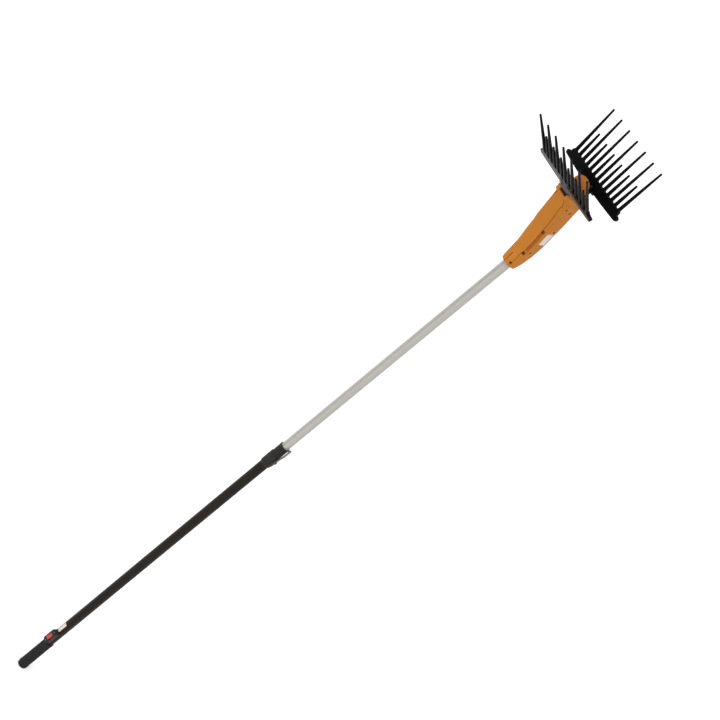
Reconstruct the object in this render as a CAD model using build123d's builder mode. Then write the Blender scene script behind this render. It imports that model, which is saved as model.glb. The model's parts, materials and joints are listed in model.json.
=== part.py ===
from build123d import *
import os
from math import sin, cos, tan, acos, radians, degrees, pi, sqrt

os.makedirs("parts", exist_ok=True)

# Electric olive harvester: a telescopic pole with a powered head that swings
# two long-tined combs to and fro.  Millimetres, +Z along the pole towards the
# head, +X along the comb bars, origin at the centre of the hand grip.

# ---------------------------------------------------------------- dimensions
# telescopic pole
OUTER_R, OUTER_BORE_R = 17.0, 15.5
INNER_R, INNER_BORE_R = 15.0, 13.5
BUTT_Z = -85.0
OUTER_BOTTOM, OUTER_TOP = -78.0, 1285.0
INNER_BOTTOM, INNER_TOP = 1100.0, 2322.0
GROOVE_W, GROOVE_D = 2.6, 0.7

# hand grip, switch and inlet
GRIP_R, GRIP_HALF = 20.0, 75.0
CAP_R = 18.6
INLET_R, INLET_BORE_R, INLET_DEPTH = 9.0, 6.5, 16.0
SWITCH_Z, SWITCH_HALF, SWITCH_W, SWITCH_TOP = 112.5, 31.0, 26.0, 31.0
ROCKER_Y, ROCKER_TILT = -28.5, -8.0
TAG_ANGLE, TAG_SPAN, TAG_Z0, TAG_Z1 = -98.0, 47.0, 148.0, 191.5

# pole clamp
COLLAR_Z0, COLLAR_STEP, COLLAR_RIM, COLLAR_TOP = 1204.0, 1257.5, 1295.0, 1301.0
COLLAR_R0, COLLAR_R1, COLLAR_LIP_R = 20.2, 18.2, 19.0
LEVER_X, LEVER_Z, LEVER_PIN_R, LEVER_HUB_R = 22.2, 1236.0, 1.4, 2.7
LEVER_W, LEVER_CURL_Z, LEVER_CURL_R = 5.4, 1306.0, 3.4

# head: the neck follows the pole, then bends over towards -Y
NECK_Z, NECK_SOLID = 2245.0, 2284.0
BEND_Z, TILT = 2285.0, 17.5
BEND_R = 60.0 / sin(radians(TILT))
HEAD_Y, HEAD_Z = -82.9, 2578.7
WALL = 2.8
SHELL_TOP_H, FLANGE_TOP_H = -58.0, -46.0
FLANGE_X, FLANGE_V, FLANGE_R, SKIRT_H = 73.6, 92.0, 17.0, -62.0
SEAM_GAP, SLIT_W, CHANNEL_D, POCKET_D = 2.0, 2.0, 1.3, 2.2
SLOT_X, SLOT_A_H = 16.0, -54.3

# rocker drive (positions in the head frame: v across, h along the head axis)
SHAFT_V, SHAFT_H, SHAFT_R = 22.0, -72.0, 5.0
BUSH_R, BUSH_BORE_R = 7.0, 5.03
PLATE_X0, PLATE_X1 = 21.2, 24.8
HUB_X, ARM_X = 19.0, 13.0
CRANK_X0, CRANK_X1 = 3.0, 11.0
LINK_X0, LINK_X1, LINK_PIN_R = -9.0, 2.6, 3.0
SWING, LINK_LEN = 26.0, 34.0
LINK_V, LINK_DROP = LINK_LEN * sin(radians(SWING / 2)), LINK_LEN * cos(radians(SWING / 2))
YOKE_H = -117.2
SPACERS = [(0.0, -90.0), (0.0, -66.0)]

# motor and planetary gear, along the head axis
MOTOR_R, MOTOR_H0, MOTOR_H1 = 21.0, -240.0, -180.0
RING_R, RING_H1, COVER_H1 = 23.0, -156.0, -142.0
GEAR_M, SUN_Z, PLANET_Z, RING_Z = 0.8, 15, 15, 45
PLANET_OFF = GEAR_M * (SUN_Z + PLANET_Z) / 2
CRANK_E, CRANK_R = LINK_V, 17.0
CRANK_PIN_R, CRANK_BEARING_R = 4.0, 8.0

# combs: foot of the middle tine (v, h) and lean off the head axis, by side
COMB_PLACE = {-1: ((-73.8, -7.2), 45.5), 1: ((46.5, 7.1), 9.86)}
TINES, PITCH, FAN = 13, 19.63, 0.47
TINE_LONG, TINE_SHORT = 156.6, 83.3
TINE_ROOT_R, TINE_MID_R, TINE_TIP_R = 5.7, 4.9, 3.0
BAR_T = 11.0
# tongue of an arm, let into the outer face of its bar: depth span, inner end, bolts
TONGUE_W0, TONGUE_W1, TONGUE_U, BOLT_U = 0.9, 5.4, -15.5, -22.0
# pads on both sides of the tongue: half length along the bar, height, span along the tines
PAD_X, PAD_W, PAD_U0, PAD_U1 = 25.0, 8.0, -39.0, -13.0

# ------------------------------------------------------------------- frames
ST, CT = sin(radians(TILT)), cos(radians(TILT))
HEAD = Plane(origin=(0, HEAD_Y, HEAD_Z), x_dir=(1, 0, 0), z_dir=(0, -ST, CT))
HEAD_SIDE = Plane(origin=(0, HEAD_Y, HEAD_Z), x_dir=(0, CT, ST), z_dir=(1, 0, 0))
HEAD_FRONT = Plane(origin=(0, HEAD_Y, HEAD_Z), x_dir=(1, 0, 0), z_dir=(0, -CT, -ST))


def head_point(x, v, h):
    """Head frame to part frame."""
    return (x, HEAD_Y + v * CT - h * ST, HEAD_Z + v * ST + h * CT)


def spot(x, v, h):
    """Location in the head frame."""
    return HEAD.location * Location((x, v, h))


def comb_planes(side):
    """Frame of a comb (z along its tines) and the plane of its bar sketch."""
    (v, h), lean = COMB_PLACE[side]
    ang = radians(TILT - side * lean)
    origin = head_point(0, v, h)
    tine = Plane(origin=origin, x_dir=(1, 0, 0), z_dir=(0, -sin(ang), cos(ang)))
    bar = Plane(origin=origin, x_dir=(1, 0, 0), z_dir=(0, -cos(ang), -sin(ang)))
    return tine, bar


COMB_A, BAR_A = comb_planes(-1)
COMB_B, BAR_B = comb_planes(1)
LIFT = (Align.CENTER, Align.CENTER, Align.MIN)


def gear_points(m, z, add, ded, extra, turn):
    """Involute outline of a gear; extra widens each tooth at the pitch line."""
    rp = m * z / 2
    rb = rp * cos(radians(20))
    ra, rr = rp + add, rp - ded
    inv20 = tan(radians(20)) - radians(20)
    half = pi / (2 * z) + extra / (2 * rp)

    def flank(r):
        if r <= rb:
            return half + inv20
        a = acos(rb / r)
        return half + inv20 - (tan(a) - a)

    radii = [rr]
    start = max(rr + 0.02, rb)
    for k in range(4):
        radii.append(start + (ra - start) * k / 3)
    pts = []
    for i in range(z):
        c = radians(turn) + 2 * pi * i / z
        for r in radii:
            pts.append((r * cos(c - flank(r)), r * sin(c - flank(r))))
        for r in reversed(radii):
            pts.append((r * cos(c + flank(r)), r * sin(c + flank(r))))
    return pts


# ------------------------------------------------------------- pole, lower end
with BuildPart() as outer_tube:
    with BuildSketch(Plane.XY.offset(OUTER_BOTTOM)):
        Circle(OUTER_R)
        Circle(OUTER_BORE_R, mode=Mode.SUBTRACT)
    extrude(amount=OUTER_TOP - OUTER_BOTTOM)
    # window for the clamp shoe
    with Locations((16.5, 0, LEVER_Z)):
        Box(8, 12.4, 20.4, mode=Mode.SUBTRACT)
    # pilot holes of the switch box screws and the collar rivets
    for zz in (SWITCH_Z - 26, SWITCH_Z + 26):
        with Locations(Location((0, -16.4, zz), (90, 0, 0))):
            Cylinder(1.4, 3.0, mode=Mode.SUBTRACT)
    for yy in (-16.5, 16.5):
        with Locations(Location((0, yy, COLLAR_Z0 + 12), (90, 0, 0))):
            Cylinder(2.0, 4.0, mode=Mode.SUBTRACT)
outer_tube.part.label = "outer_tube"
export_step(outer_tube.part, "parts/outer_tube.step")

with BuildPart() as end_cap:
    with BuildSketch(Plane.XY.offset(BUTT_Z)):
        Circle(CAP_R)
    extrude(amount=OUTER_BOTTOM - BUTT_Z - 0.1)
    fillet(end_cap.edges().group_by(Axis.Z)[0], 1.6)
    with BuildSketch(Plane.XY.offset(OUTER_BOTTOM - 0.2)):
        Circle(15.45)
    extrude(amount=26)
    with Locations((0, 0, BUTT_Z - 1)):
        Cylinder(INLET_R, 60, align=LIFT, mode=Mode.SUBTRACT)
end_cap.part.label = "end_cap"
export_step(end_cap.part, "parts/end_cap.step")

with BuildPart() as power_inlet:
    with Locations((0, 0, BUTT_Z)):
        Cylinder(INLET_R - 0.02, 30, align=LIFT)
        Cylinder(INLET_BORE_R, INLET_DEPTH, align=LIFT, mode=Mode.SUBTRACT)
        Cylinder(4.6, INLET_DEPTH + 8, align=LIFT, mode=Mode.SUBTRACT)
    for xx in (-2.2, 2.2):
        with Locations((xx, 0, BUTT_Z + 17.5)):
            Cylinder(1.0, 20, align=LIFT, mode=Mode.SUBTRACT)
power_inlet.part.label = "power_inlet"
export_step(power_inlet.part, "parts/power_inlet.step")

with BuildPart() as inlet_contacts:
    for xx in (-2.2, 2.2):
        with Locations((xx, 0, BUTT_Z + 17.5)):
            Cylinder(0.98, 16, align=LIFT)
inlet_contacts.part.label = "inlet_contacts"
export_step(inlet_contacts.part, "parts/inlet_contacts.step")

with BuildPart() as hand_grip:
    with BuildSketch(Plane.XY.offset(-GRIP_HALF)):
        Circle(GRIP_R)
        Circle(OUTER_R + 0.05, mode=Mode.SUBTRACT)
    extrude(amount=2 * GRIP_HALF)
    fillet(hand_grip.edges().filter_by(GeomType.CIRCLE).sort_by(SortBy.RADIUS)[-2:], 1.5)
hand_grip.part.label = "hand_grip"
export_step(hand_grip.part, "parts/hand_grip.step")

# switch box saddled on the tube, facing -Y
with BuildPart() as switch_box:
    with BuildSketch(Plane.XZ.offset(12)):
        with Locations((0, SWITCH_Z)):
            RectangleRounded(SWITCH_W, 2 * SWITCH_HALF, 8)
    extrude(amount=SWITCH_TOP - 12)
    fillet(switch_box.faces().sort_by(Axis.Y)[0].edges(), 3.0)
    with Locations((0, 0, SWITCH_Z)):
        Cylinder(OUTER_R + 0.05, 2 * SWITCH_HALF + 10, mode=Mode.SUBTRACT)
    # window of the rocker, with its trunnion bores
    with Locations((0, -27.6, SWITCH_Z)):
        Box(15.0, 14.8, 29.6, mode=Mode.SUBTRACT)
    with Locations(Location((0, ROCKER_Y, SWITCH_Z), (0, 90, 0))):
        Cylinder(1.55, 20.0, mode=Mode.SUBTRACT)
    for zz in (SWITCH_Z - 26, SWITCH_Z + 26):
        with Locations(Location((0, -24, zz), (90, 0, 0))):
            Cylinder(1.42, 24, mode=Mode.SUBTRACT)
        with Locations(Location((0, -31, zz), (90, 0, 0))):
            Cylinder(2.8, 7, mode=Mode.SUBTRACT)
switch_box.part.label = "switch_box"
export_step(switch_box.part, "parts/switch_box.step")

# rocker, stored in its off position
ROCKER = Plane(origin=(0, ROCKER_Y, SWITCH_Z), x_dir=(0, 1, 0), z_dir=(1, 0, 0))
with BuildPart() as switch_rocker:
    t = radians(ROCKER_TILT)
    outline = [(3.2, -10.5), (3.2, 10.5), (-3.0, 13.2), (-3.6, 12.6), (-2.2, 0.0), (-3.6, -12.6), (-3.0, -13.2)]
    turned = [(y * cos(t) - z * sin(t), y * sin(t) + z * cos(t)) for y, z in outline]
    with BuildSketch(ROCKER):
        with BuildLine():
            Polyline(*turned, close=True)
        make_face()
    extrude(amount=7.0, both=True)
    with Locations(Location((0, ROCKER_Y, SWITCH_Z), (0, 90, 0))):
        Cylinder(1.5, 18.6)
switch_rocker.part.label = "switch_rocker"
export_step(switch_rocker.part, "parts/switch_rocker.step")

with BuildPart() as switch_screws:
    for zz in (SWITCH_Z - 26, SWITCH_Z + 26):
        with Locations(Location((0, -15.7, zz), (90, 0, 0))):
            Cylinder(1.38, 12.0, align=LIFT)
        with Locations(Location((0, -27.5, zz), (90, 0, 0))):
            Cylinder(2.6, 1.9, align=LIFT)
switch_screws.part.label = "switch_screws"
export_step(switch_screws.part, "parts/switch_screws.step")

# blank label wrapped on the tube
with BuildPart() as pole_label:
    with BuildSketch(Plane.XZ):
        with Locations((OUTER_R + 0.27, (TAG_Z0 + TAG_Z1) / 2)):
            Rectangle(0.5, TAG_Z1 - TAG_Z0)
    revolve(axis=Axis.Z, revolution_arc=TAG_SPAN)
pole_label.part = pole_label.part.rotate(Axis.Z, TAG_ANGLE - TAG_SPAN / 2)
pole_label.part.label = "pole_label"
export_step(pole_label.part, "parts/pole_label.step")

# ------------------------------------------------------------------ pole clamp
with BuildPart() as clamp_collar:
    with BuildSketch(Plane.XZ):
        with BuildLine():
            Polyline(
                (OUTER_R + 0.04, COLLAR_Z0), (COLLAR_R0 - 1.6, COLLAR_Z0), (COLLAR_R0, COLLAR_Z0 + 6),
                (COLLAR_R0, COLLAR_STEP - 1.0), (COLLAR_R1, COLLAR_STEP), (COLLAR_R1, COLLAR_RIM - 1.5),
                (COLLAR_LIP_R, COLLAR_RIM), (COLLAR_LIP_R, COLLAR_TOP - 0.8), (COLLAR_LIP_R - 0.8, COLLAR_TOP), (OUTER_R + 0.04, COLLAR_TOP), close=True)
        make_face()
    revolve(axis=Axis.Z)
    # cheeks on both sides of the lever, with the eyes for its pin
    for yy in (-7.4, 7.4):
        with BuildSketch(Plane.XZ.offset(-yy)):
            with BuildLine():
                Polyline((17.8, LEVER_Z - 27), (19.8, LEVER_Z - 21), (20.6, LEVER_Z - 9), (LEVER_X + 1.8, LEVER_Z - 3), (LEVER_X + 2.6, LEVER_Z - 1.2),
                         (LEVER_X + 2.6, LEVER_Z + 1.2), (LEVER_X + 1.8, LEVER_Z + 3), (20.6, LEVER_Z + 9), (19.8, LEVER_Z + 18), (17.8, LEVER_Z + 21), close=True)
            make_face()
        extrude(amount=1.2, both=True)
    with Locations(Location((LEVER_X, 0, LEVER_Z), (90, 0, 0))):
        Cylinder(LEVER_PIN_R + 0.02, 40, mode=Mode.SUBTRACT)
    # window for the clamp shoe and the cam of the lever
    with Locations((21, 0, LEVER_Z)):
        Box(14, 12.4, 20.4, mode=Mode.SUBTRACT)
    for yy in (-19.5, 19.5):
        with Locations(Location((0, yy, COLLAR_Z0 + 12), (90, 0, 0))):
            Cylinder(2.02, 8.0, mode=Mode.SUBTRACT)
clamp_collar.part.label = "clamp_collar"
export_step(clamp_collar.part, "parts/clamp_collar.step")

with BuildPart() as collar_bush:
    with BuildSketch(Plane.XY.offset(OUTER_TOP + 0.3)):
        Circle(OUTER_R)
        Circle(INNER_R + 0.05, mode=Mode.SUBTRACT)
    extrude(amount=COLLAR_TOP - OUTER_TOP - 1.3)
collar_bush.part.label = "collar_bush"
export_step(collar_bush.part, "parts/collar_bush.step")

with BuildPart() as clamp_shoe:
    with Locations((16.9, 0, LEVER_Z)):
        Box(4.6, 12.0, 20.0)
    with Locations((0, 0, LEVER_Z)):
        Cylinder(INNER_R + 0.35, 30, mode=Mode.SUBTRACT)
clamp_shoe.part.label = "clamp_shoe"
export_step(clamp_shoe.part, "parts/clamp_shoe.step")

LEVER_OUT = [(1.0, 0.0), (1.0, 14.0), (3.1, 31.0), (5.0, 47.0), (5.1, LEVER_CURL_Z - LEVER_Z)]

with BuildPart() as clamp_lever:
    with BuildSketch(Plane.XZ):
        with BuildLine():
            Polyline(*[(LEVER_X + x, LEVER_Z + z) for x, z in LEVER_OUT], *[(LEVER_X + x - 1.8, LEVER_Z + z) for x, z in reversed(LEVER_OUT)], close=True)
        make_face()
        with Locations((LEVER_X + 5.1 - LEVER_CURL_R, LEVER_CURL_Z)):
            Circle(LEVER_CURL_R)
            Circle(LEVER_CURL_R - 1.8, mode=Mode.SUBTRACT)
    extrude(amount=LEVER_W, both=True)
    with Locations(Location((LEVER_X, 0, LEVER_Z), (90, 0, 0))):
        Cylinder(LEVER_HUB_R, 11.6)
        Cylinder(LEVER_PIN_R + 0.05, 20, mode=Mode.SUBTRACT)
    # lightening slot along the strip
    with Locations((LEVER_X, 0, LEVER_Z + 31)):
        Box(20, 4.4, 22, mode=Mode.SUBTRACT)
clamp_lever.part.label = "clamp_lever"
export_step(clamp_lever.part, "parts/clamp_lever.step")

with BuildPart() as lever_pin:
    with Locations(Location((LEVER_X, 0, LEVER_Z), (90, 0, 0))):
        Cylinder(LEVER_PIN_R, 18.0)
    for yy, up in ((-8.65, 90), (8.65, -90)):
        with Locations(Location((LEVER_X, yy, LEVER_Z), (up, 0, 0))):
            Cylinder(2.2, 1.0, align=LIFT)
lever_pin.part.label = "lever_pin"
export_step(lever_pin.part, "parts/lever_pin.step")

with BuildPart() as collar_rivets:
    for s in (-1, 1):
        with Locations(Location((0, s * 15.7, COLLAR_Z0 + 12), (-90 * s, 0, 0))):
            Cylinder(1.98, 4.6, align=LIFT)
        with Locations(Location((0, s * (COLLAR_R0 + 0.05), COLLAR_Z0 + 12), (-90 * s, 0, 0))):
            Cylinder(3.0, 0.9, align=LIFT)
collar_rivets.part.label = "collar_rivets"
export_step(collar_rivets.part, "parts/collar_rivets.step")

# ------------------------------------------------------------ pole, upper tube
with BuildPart() as inner_tube:
    with BuildSketch(Plane.XY.offset(INNER_BOTTOM)):
        Circle(INNER_R)
        Circle(INNER_BORE_R, mode=Mode.SUBTRACT)
        # shallow groove along the tube
        with Locations((0, -INNER_R)):
            Rectangle(GROOVE_W, 2 * GROOVE_D, mode=Mode.SUBTRACT)
    extrude(amount=INNER_TOP - INNER_BOTTOM)
inner_tube.part.label = "inner_tube"
export_step(inner_tube.part, "parts/inner_tube.step")

with BuildPart() as guide_bush:
    with Locations((0, 0, INNER_BOTTOM - 18)):
        Cylinder(OUTER_BORE_R - 0.06, 17.9, align=LIFT)
    with Locations((0, 0, INNER_BOTTOM - 1)):
        Cylinder(INNER_BORE_R - 0.05, 23, align=LIFT)
    with Locations((0, 0, INNER_BOTTOM)):
        Cylinder(8.5, 80, mode=Mode.SUBTRACT)
guide_bush.part.label = "guide_bush"
export_step(guide_bush.part, "parts/guide_bush.step")

# ---------------------------------------------------------------- head housing


def bend_plane(phi):
    p = radians(phi)
    return Plane(origin=(0, -BEND_R * (1 - cos(p)), BEND_Z + BEND_R * sin(p)),
                 x_dir=(1, 0, 0), z_dir=(0, -sin(p), cos(p)))


# sections of the housing: plane, half width, half depth, corner radius
SECTIONS = [
    (Plane.XY.offset(NECK_Z), 23.2, 23.2, 20.5),
    (Plane.XY.offset(2266), 26.4, 27.2, 21.5),
    (Plane.XY.offset(BEND_Z), 27.8, 29.2, 21.5),
    (bend_plane(9), 29.2, 32.0, 21.5),
    (HEAD.offset(-245), 30.5, 34.3, 21.0),
    (HEAD.offset(-187), 31.6, 36.3, 19.5),
    (HEAD.offset(-130), 32.4, 38.0, 17.0),
    (HEAD.offset(-92), 32.4, 38.5, 15.4),
    (HEAD.offset(-76), 32.6, 39.2, 15.0),
    (HEAD.offset(-66), 33.1, 40.5, 15.0),
    (HEAD.offset(SHELL_TOP_H), 34.2, 42.6, 15.3),
]

with BuildPart() as shell_outer:
    for plane, a, b, r in SECTIONS:
        with BuildSketch(plane):
            RectangleRounded(2 * a, 2 * b, r)
    loft()

INNER_SECTIONS = [(Plane.XY.offset(NECK_SOLID), 24.2, 25.6, 18.7)] + [
    (plane, a - WALL, b - WALL, r - WALL) for plane, a, b, r in SECTIONS[3:-1]] + [
    (HEAD.offset(SHELL_TOP_H + 1), 34.2 - WALL, 42.6 - WALL, 15.3 - WALL)]

with BuildPart() as shell_inner:
    for plane, a, b, r in INNER_SECTIONS:
        with BuildSketch(plane):
            RectangleRounded(2 * a, 2 * b, r)
    loft()

# the same cavity a hair smaller, for the pieces that sit against the wall
with BuildPart() as shell_fit:
    for plane, a, b, r in INNER_SECTIONS:
        with BuildSketch(plane):
            RectangleRounded(2 * a - 0.2, 2 * b - 0.2, r)
    loft()

# the same skin sunk by the depth of the seam's channel and of its pockets
with BuildPart() as shell_channel:
    for plane, a, b, r in SECTIONS:
        with BuildSketch(plane):
            RectangleRounded(2 * (a - CHANNEL_D), 2 * (b - CHANNEL_D), r - CHANNEL_D)
    loft()

with BuildPart() as shell_pocket:
    for plane, a, b, r in SECTIONS:
        with BuildSketch(plane):
            RectangleRounded(2 * (a - POCKET_D), 2 * (b - POCKET_D), r - POCKET_D)
    loft()

# seam of the front cover: its side view (y, z), then its front view (x, h) up to the nose
SEAM = [(-25.5, 2290.0), (-30.0, 2317.0), (-56.5, 2391.0), (-93.4, 2488.4)]
SEAM_FRONT = [(24.3, -88.0), (24.3, -83.0), (23.6, -78.5), (22.4, -74.5), (20.7, -71.0), (18.4, -67.6), (16.3, -64.0), (15.2, -60.0), (15.0, -48.0)]


def seam_side(grow):
    line = [(y + grow, z) for y, z in SEAM]
    line[0] = (line[0][0], line[0][1] - (0.15 if grow > 0 else -0.15))
    return line + [(-115.0, 2481.5), (-180.0, 2462.0), (-180.0, line[0][1])]


def seam_front(grow):
    half = [(x + grow, h) for x, h in SEAM_FRONT]
    return half + [(-x, h) for x, h in reversed(half)]


with BuildPart() as cover_cut:
    with BuildSketch(Plane.YZ):
        with BuildLine():
            Polyline(*seam_side(SEAM_GAP / 2), close=True)
        make_face()
    extrude(amount=60, both=True)
    with BuildSketch(HEAD_FRONT.offset(24)):
        with BuildLine():
            Polyline(*seam_front(SEAM_GAP / 2), close=True)
        make_face()
    extrude(amount=40)

with BuildPart() as cover_keep:
    with BuildSketch(Plane.YZ):
        with BuildLine():
            Polyline(*seam_side(-SEAM_GAP / 2), close=True)
        make_face()
    extrude(amount=60, both=True)
    with BuildSketch(HEAD_FRONT.offset(24)):
        with BuildLine():
            Polyline(*seam_front(-SEAM_GAP / 2), close=True)
        make_face()
    extrude(amount=40)

# shallow channel behind the seam, and the line that carries the seam on to the neck
with BuildPart() as channel_cut:
    with BuildSketch(Plane.YZ):
        with BuildLine():
            Polyline((-29.5, 2312.0), (-30.0, 2317.0), (-55.8, 2389.0), (-47.6, 2389.0), (-21.6, 2316.0), (-21.0, 2312.0), close=True)
        make_face()
        with BuildLine():
            Polyline((-19.6, 2246.0), (-25.6, 2291.0), (-24.4, 2291.0), (-18.4, 2246.0), close=True)
        make_face()
    extrude(amount=60, both=True)
    add(shell_channel.part, mode=Mode.SUBTRACT)

# pockets at the two ends of the channel
with BuildPart() as pocket_cut:
    with BuildSketch(Plane.YZ):
        with BuildLine():
            Polyline((-28.6, 2301.5), (-29.6, 2312.0), (-20.6, 2312.0), (-19.6, 2301.5), close=True)
        make_face()
        with BuildLine():
            Polyline((-56.0, 2389.0), (-60.0, 2400.0), (-51.2, 2400.0), (-47.2, 2389.0), close=True)
        make_face()
    extrude(amount=60, both=True)
    add(shell_pocket.part, mode=Mode.SUBTRACT)

LABEL = [(-21.0, 2353.5), (-34.0, 2398.5), (-6.0, 2408.0), (4.0, 2360.0)]
# screws of the housing on its +X side: y, z and the x of the face there
SCREWS = [(-11.0, 2319.0, 29.2), (-20.0, 2412.0, 31.9)]
PLATE_SCREWS = [(-73.0, 2488.5), (-47.5, 2485.5)]

with BuildPart() as housing_rear:
    add(shell_outer.part)
    fillet(housing_rear.edges().group_by(Axis.Z)[0], 2.5)
    add(shell_inner.part, mode=Mode.SUBTRACT)
    # the front cover's opening
    add(cover_cut.part, mode=Mode.SUBTRACT)
    add(channel_cut.part, mode=Mode.SUBTRACT)
    add(pocket_cut.part, mode=Mode.SUBTRACT)
    # bosses for the screws and pads that hold the side plates
    for y, z, face in SCREWS:
        with Locations(Location((face - 8.0, y, z), (0, 90, 0))):
            Cylinder(4.2, 6.5, align=LIFT)
    for y, z in PLATE_SCREWS:
        with Locations(Location((PLATE_X1 + 0.02, y, z), (0, 90, 0))):
            Cylinder(4.2, 6.0, align=LIFT)
    for v in (-16.0, 16.0):
        with Locations(spot(-(PLATE_X1 + 0.02 + 3.0), v, -96)):
            Box(6.0, 8.0, 8.0)
    # seat of the pole: bore, clamp slit and clamp screw
    with Locations((0, 0, NECK_Z - 1)):
        Cylinder(INNER_R + 0.03, NECK_SOLID - NECK_Z + 2, align=LIFT, mode=Mode.SUBTRACT)
    with Locations((0, -24, (NECK_Z + 2282) / 2)):
        Box(SLIT_W, 22, 2282 - NECK_Z + 2, mode=Mode.SUBTRACT)
    with Locations(Location((0, -20.4, 2258), (0, 90, 0))):
        Cylinder(2.05, 80, mode=Mode.SUBTRACT)
    with Locations(Location((14.0, -20.4, 2258), (0, 90, 0))):
        Cylinder(3.8, 30, align=LIFT, mode=Mode.SUBTRACT)
    # screw pockets
    for y, z, face in SCREWS:
        with Locations(Location((face - 9.0, y, z), (0, 90, 0))):
            Cylinder(1.62, 20, align=LIFT, mode=Mode.SUBTRACT)
        with Locations(Location((face - 5.0, y, z), (0, 90, 0))):
            Cylinder(3.3, 20, align=LIFT, mode=Mode.SUBTRACT)
    for y, z in PLATE_SCREWS:
        with Locations(Location((20.0, y, z), (0, 90, 0))):
            Cylinder(1.62, 20, align=LIFT, mode=Mode.SUBTRACT)
        with Locations(Location((27.4, y, z), (0, 90, 0))):
            Cylinder(3.4, 20, align=LIFT, mode=Mode.SUBTRACT)
    # recess of the blank label
    with BuildSketch(Plane.YZ.offset(29.9)):
        with BuildLine():
            Polyline(*LABEL, close=True)
        make_face()
    extrude(amount=12, mode=Mode.SUBTRACT)
    # opening that the rear rocker arm comes out of
    with Locations(spot(0, 48, -56.5)):
        Box(2 * SLOT_X, 24, 33, mode=Mode.SUBTRACT)
housing_rear.part.label = "housing_rear"
export_step(housing_rear.part, "parts/housing_rear.step")

with BuildPart() as housing_front:
    add(shell_outer.part)
    add(shell_inner.part, mode=Mode.SUBTRACT)
    add(cover_keep.part, mode=Mode.INTERSECT)
housing_front.part.label = "housing_front"
export_step(housing_front.part, "parts/housing_front.step")

# nose cover that closes the top, with a dome between the combs
with BuildPart() as nose_cover:
    with BuildSketch(HEAD.offset(SHELL_TOP_H + 0.05)):
        RectangleRounded(FLANGE_X, FLANGE_V, FLANGE_R)
    extrude(amount=FLANGE_TOP_H - SHELL_TOP_H - 2.55)
    for h, cut in ((FLANGE_TOP_H - 2.5, 0.0), (FLANGE_TOP_H - 1.2, 0.7), (FLANGE_TOP_H, 2.6)):
        with BuildSketch(HEAD.offset(h)):
            RectangleRounded(FLANGE_X - 2 * cut, FLANGE_V - 2 * cut, FLANGE_R - cut)
    loft(ruled=True)
    # skirt that laps over the rim of the shells
    with BuildSketch(HEAD.offset(SKIRT_H)):
        RectangleRounded(FLANGE_X, FLANGE_V, FLANGE_R)
        RectangleRounded(69.4, 86.2, 15.6, mode=Mode.SUBTRACT)
    extrude(amount=SHELL_TOP_H + 0.5 - SKIRT_H)
    for h, a, b in ((-47.0, 31.6, 20.8), (-23.0, 31.0, 19.8), (-9.0, 28.4, 17.0), (1.0, 21.8, 12.0), (7.0, 11.5, 6.0)):
        with BuildSketch(HEAD.offset(h)):
            Ellipse(a, b)
    loft()
    with BuildSketch(HEAD.offset(SHELL_TOP_H - 1)):
        RectangleRounded(61.2, 77.0, 12.0)
    extrude(amount=FLANGE_TOP_H - SHELL_TOP_H - 1.5, mode=Mode.SUBTRACT)
    for h, a, b in ((-54.0, 29.0, 18.2), (-23.0, 28.4, 17.2), (-9.0, 25.4, 14.2), (-1.0, 18.8, 9.2)):
        with BuildSketch(HEAD.offset(h)):
            Ellipse(a, b)
    loft(mode=Mode.SUBTRACT)
    for s, low in ((-1, SLOT_A_H), (1, -69.0)):
        with Locations(spot(0, s * 46.0, (low - 29.0) / 2)):
            Box(2 * SLOT_X, 49.0, -29.0 - low, mode=Mode.SUBTRACT)
nose_cover.part.label = "nose_cover"
export_step(nose_cover.part, "parts/nose_cover.step")

with BuildPart() as housing_screws:
    for y, z, face in SCREWS:
        with Locations(Location((face - 8.0, y, z), (0, 90, 0))):
            Cylinder(1.6, 4.0, align=LIFT)
        with Locations(Location((face - 4.98, y, z), (0, 90, 0))):
            Cylinder(2.9, 1.8, align=LIFT)
    for y, z in PLATE_SCREWS:
        with Locations(Location((21.4, y, z), (0, 90, 0))):
            Cylinder(1.6, 7.0, align=LIFT)
        with Locations(Location((27.42, y, z), (0, 90, 0))):
            Cylinder(2.9, 1.8, align=LIFT)
housing_screws.part.label = "housing_screws"
export_step(housing_screws.part, "parts/housing_screws.step")

with BuildPart() as neck_screw:
    with Locations(Location((-16.0, -20.4, 2258), (0, 90, 0))):
        Cylinder(2.0, 31.0, align=LIFT)
    with Locations(Location((14.05, -20.4, 2258), (0, 90, 0))):
        Cylinder(3.5, 3.2, align=LIFT)
neck_screw.part.label = "neck_screw"
export_step(neck_screw.part, "parts/neck_screw.step")

with BuildPart() as head_label:
    with BuildSketch(Plane.YZ.offset(29.92)):
        with BuildLine():
            Polyline(*LABEL, close=True)
        make_face()
        offset(amount=-0.5, kind=Kind.INTERSECTION, mode=Mode.REPLACE)
    extrude(amount=0.5)
head_label.part.label = "head_label"
export_step(head_label.part, "parts/head_label.step")

with BuildPart() as tube_locator:
    add(shell_fit.part)
    with BuildSketch(Plane.XY.offset(2299)):
        Rectangle(200, 200)
    extrude(amount=10, mode=Mode.INTERSECT)
    with Locations((0, 0, 2304)):
        Cylinder(INNER_R + 0.03, 30, mode=Mode.SUBTRACT)
tube_locator.part.label = "tube_locator"
export_step(tube_locator.part, "parts/tube_locator.step")

# --------------------------------------------------------------- motor, gearbox
with BuildPart() as motor_can:
    with BuildSketch(HEAD.offset(MOTOR_H0)):
        Circle(MOTOR_R)
    extrude(amount=MOTOR_H1 - MOTOR_H0)
    with Locations(spot(0, 0, MOTOR_H0 - 1)):
        Cylinder(MOTOR_R - 1.5, MOTOR_H1 - MOTOR_H0 - 2, align=LIFT, mode=Mode.SUBTRACT)
    with Locations(spot(0, 0, MOTOR_H1)):
        Cylinder(6.0, 10, mode=Mode.SUBTRACT)
motor_can.part.label = "motor_can"
export_step(motor_can.part, "parts/motor_can.step")

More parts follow.
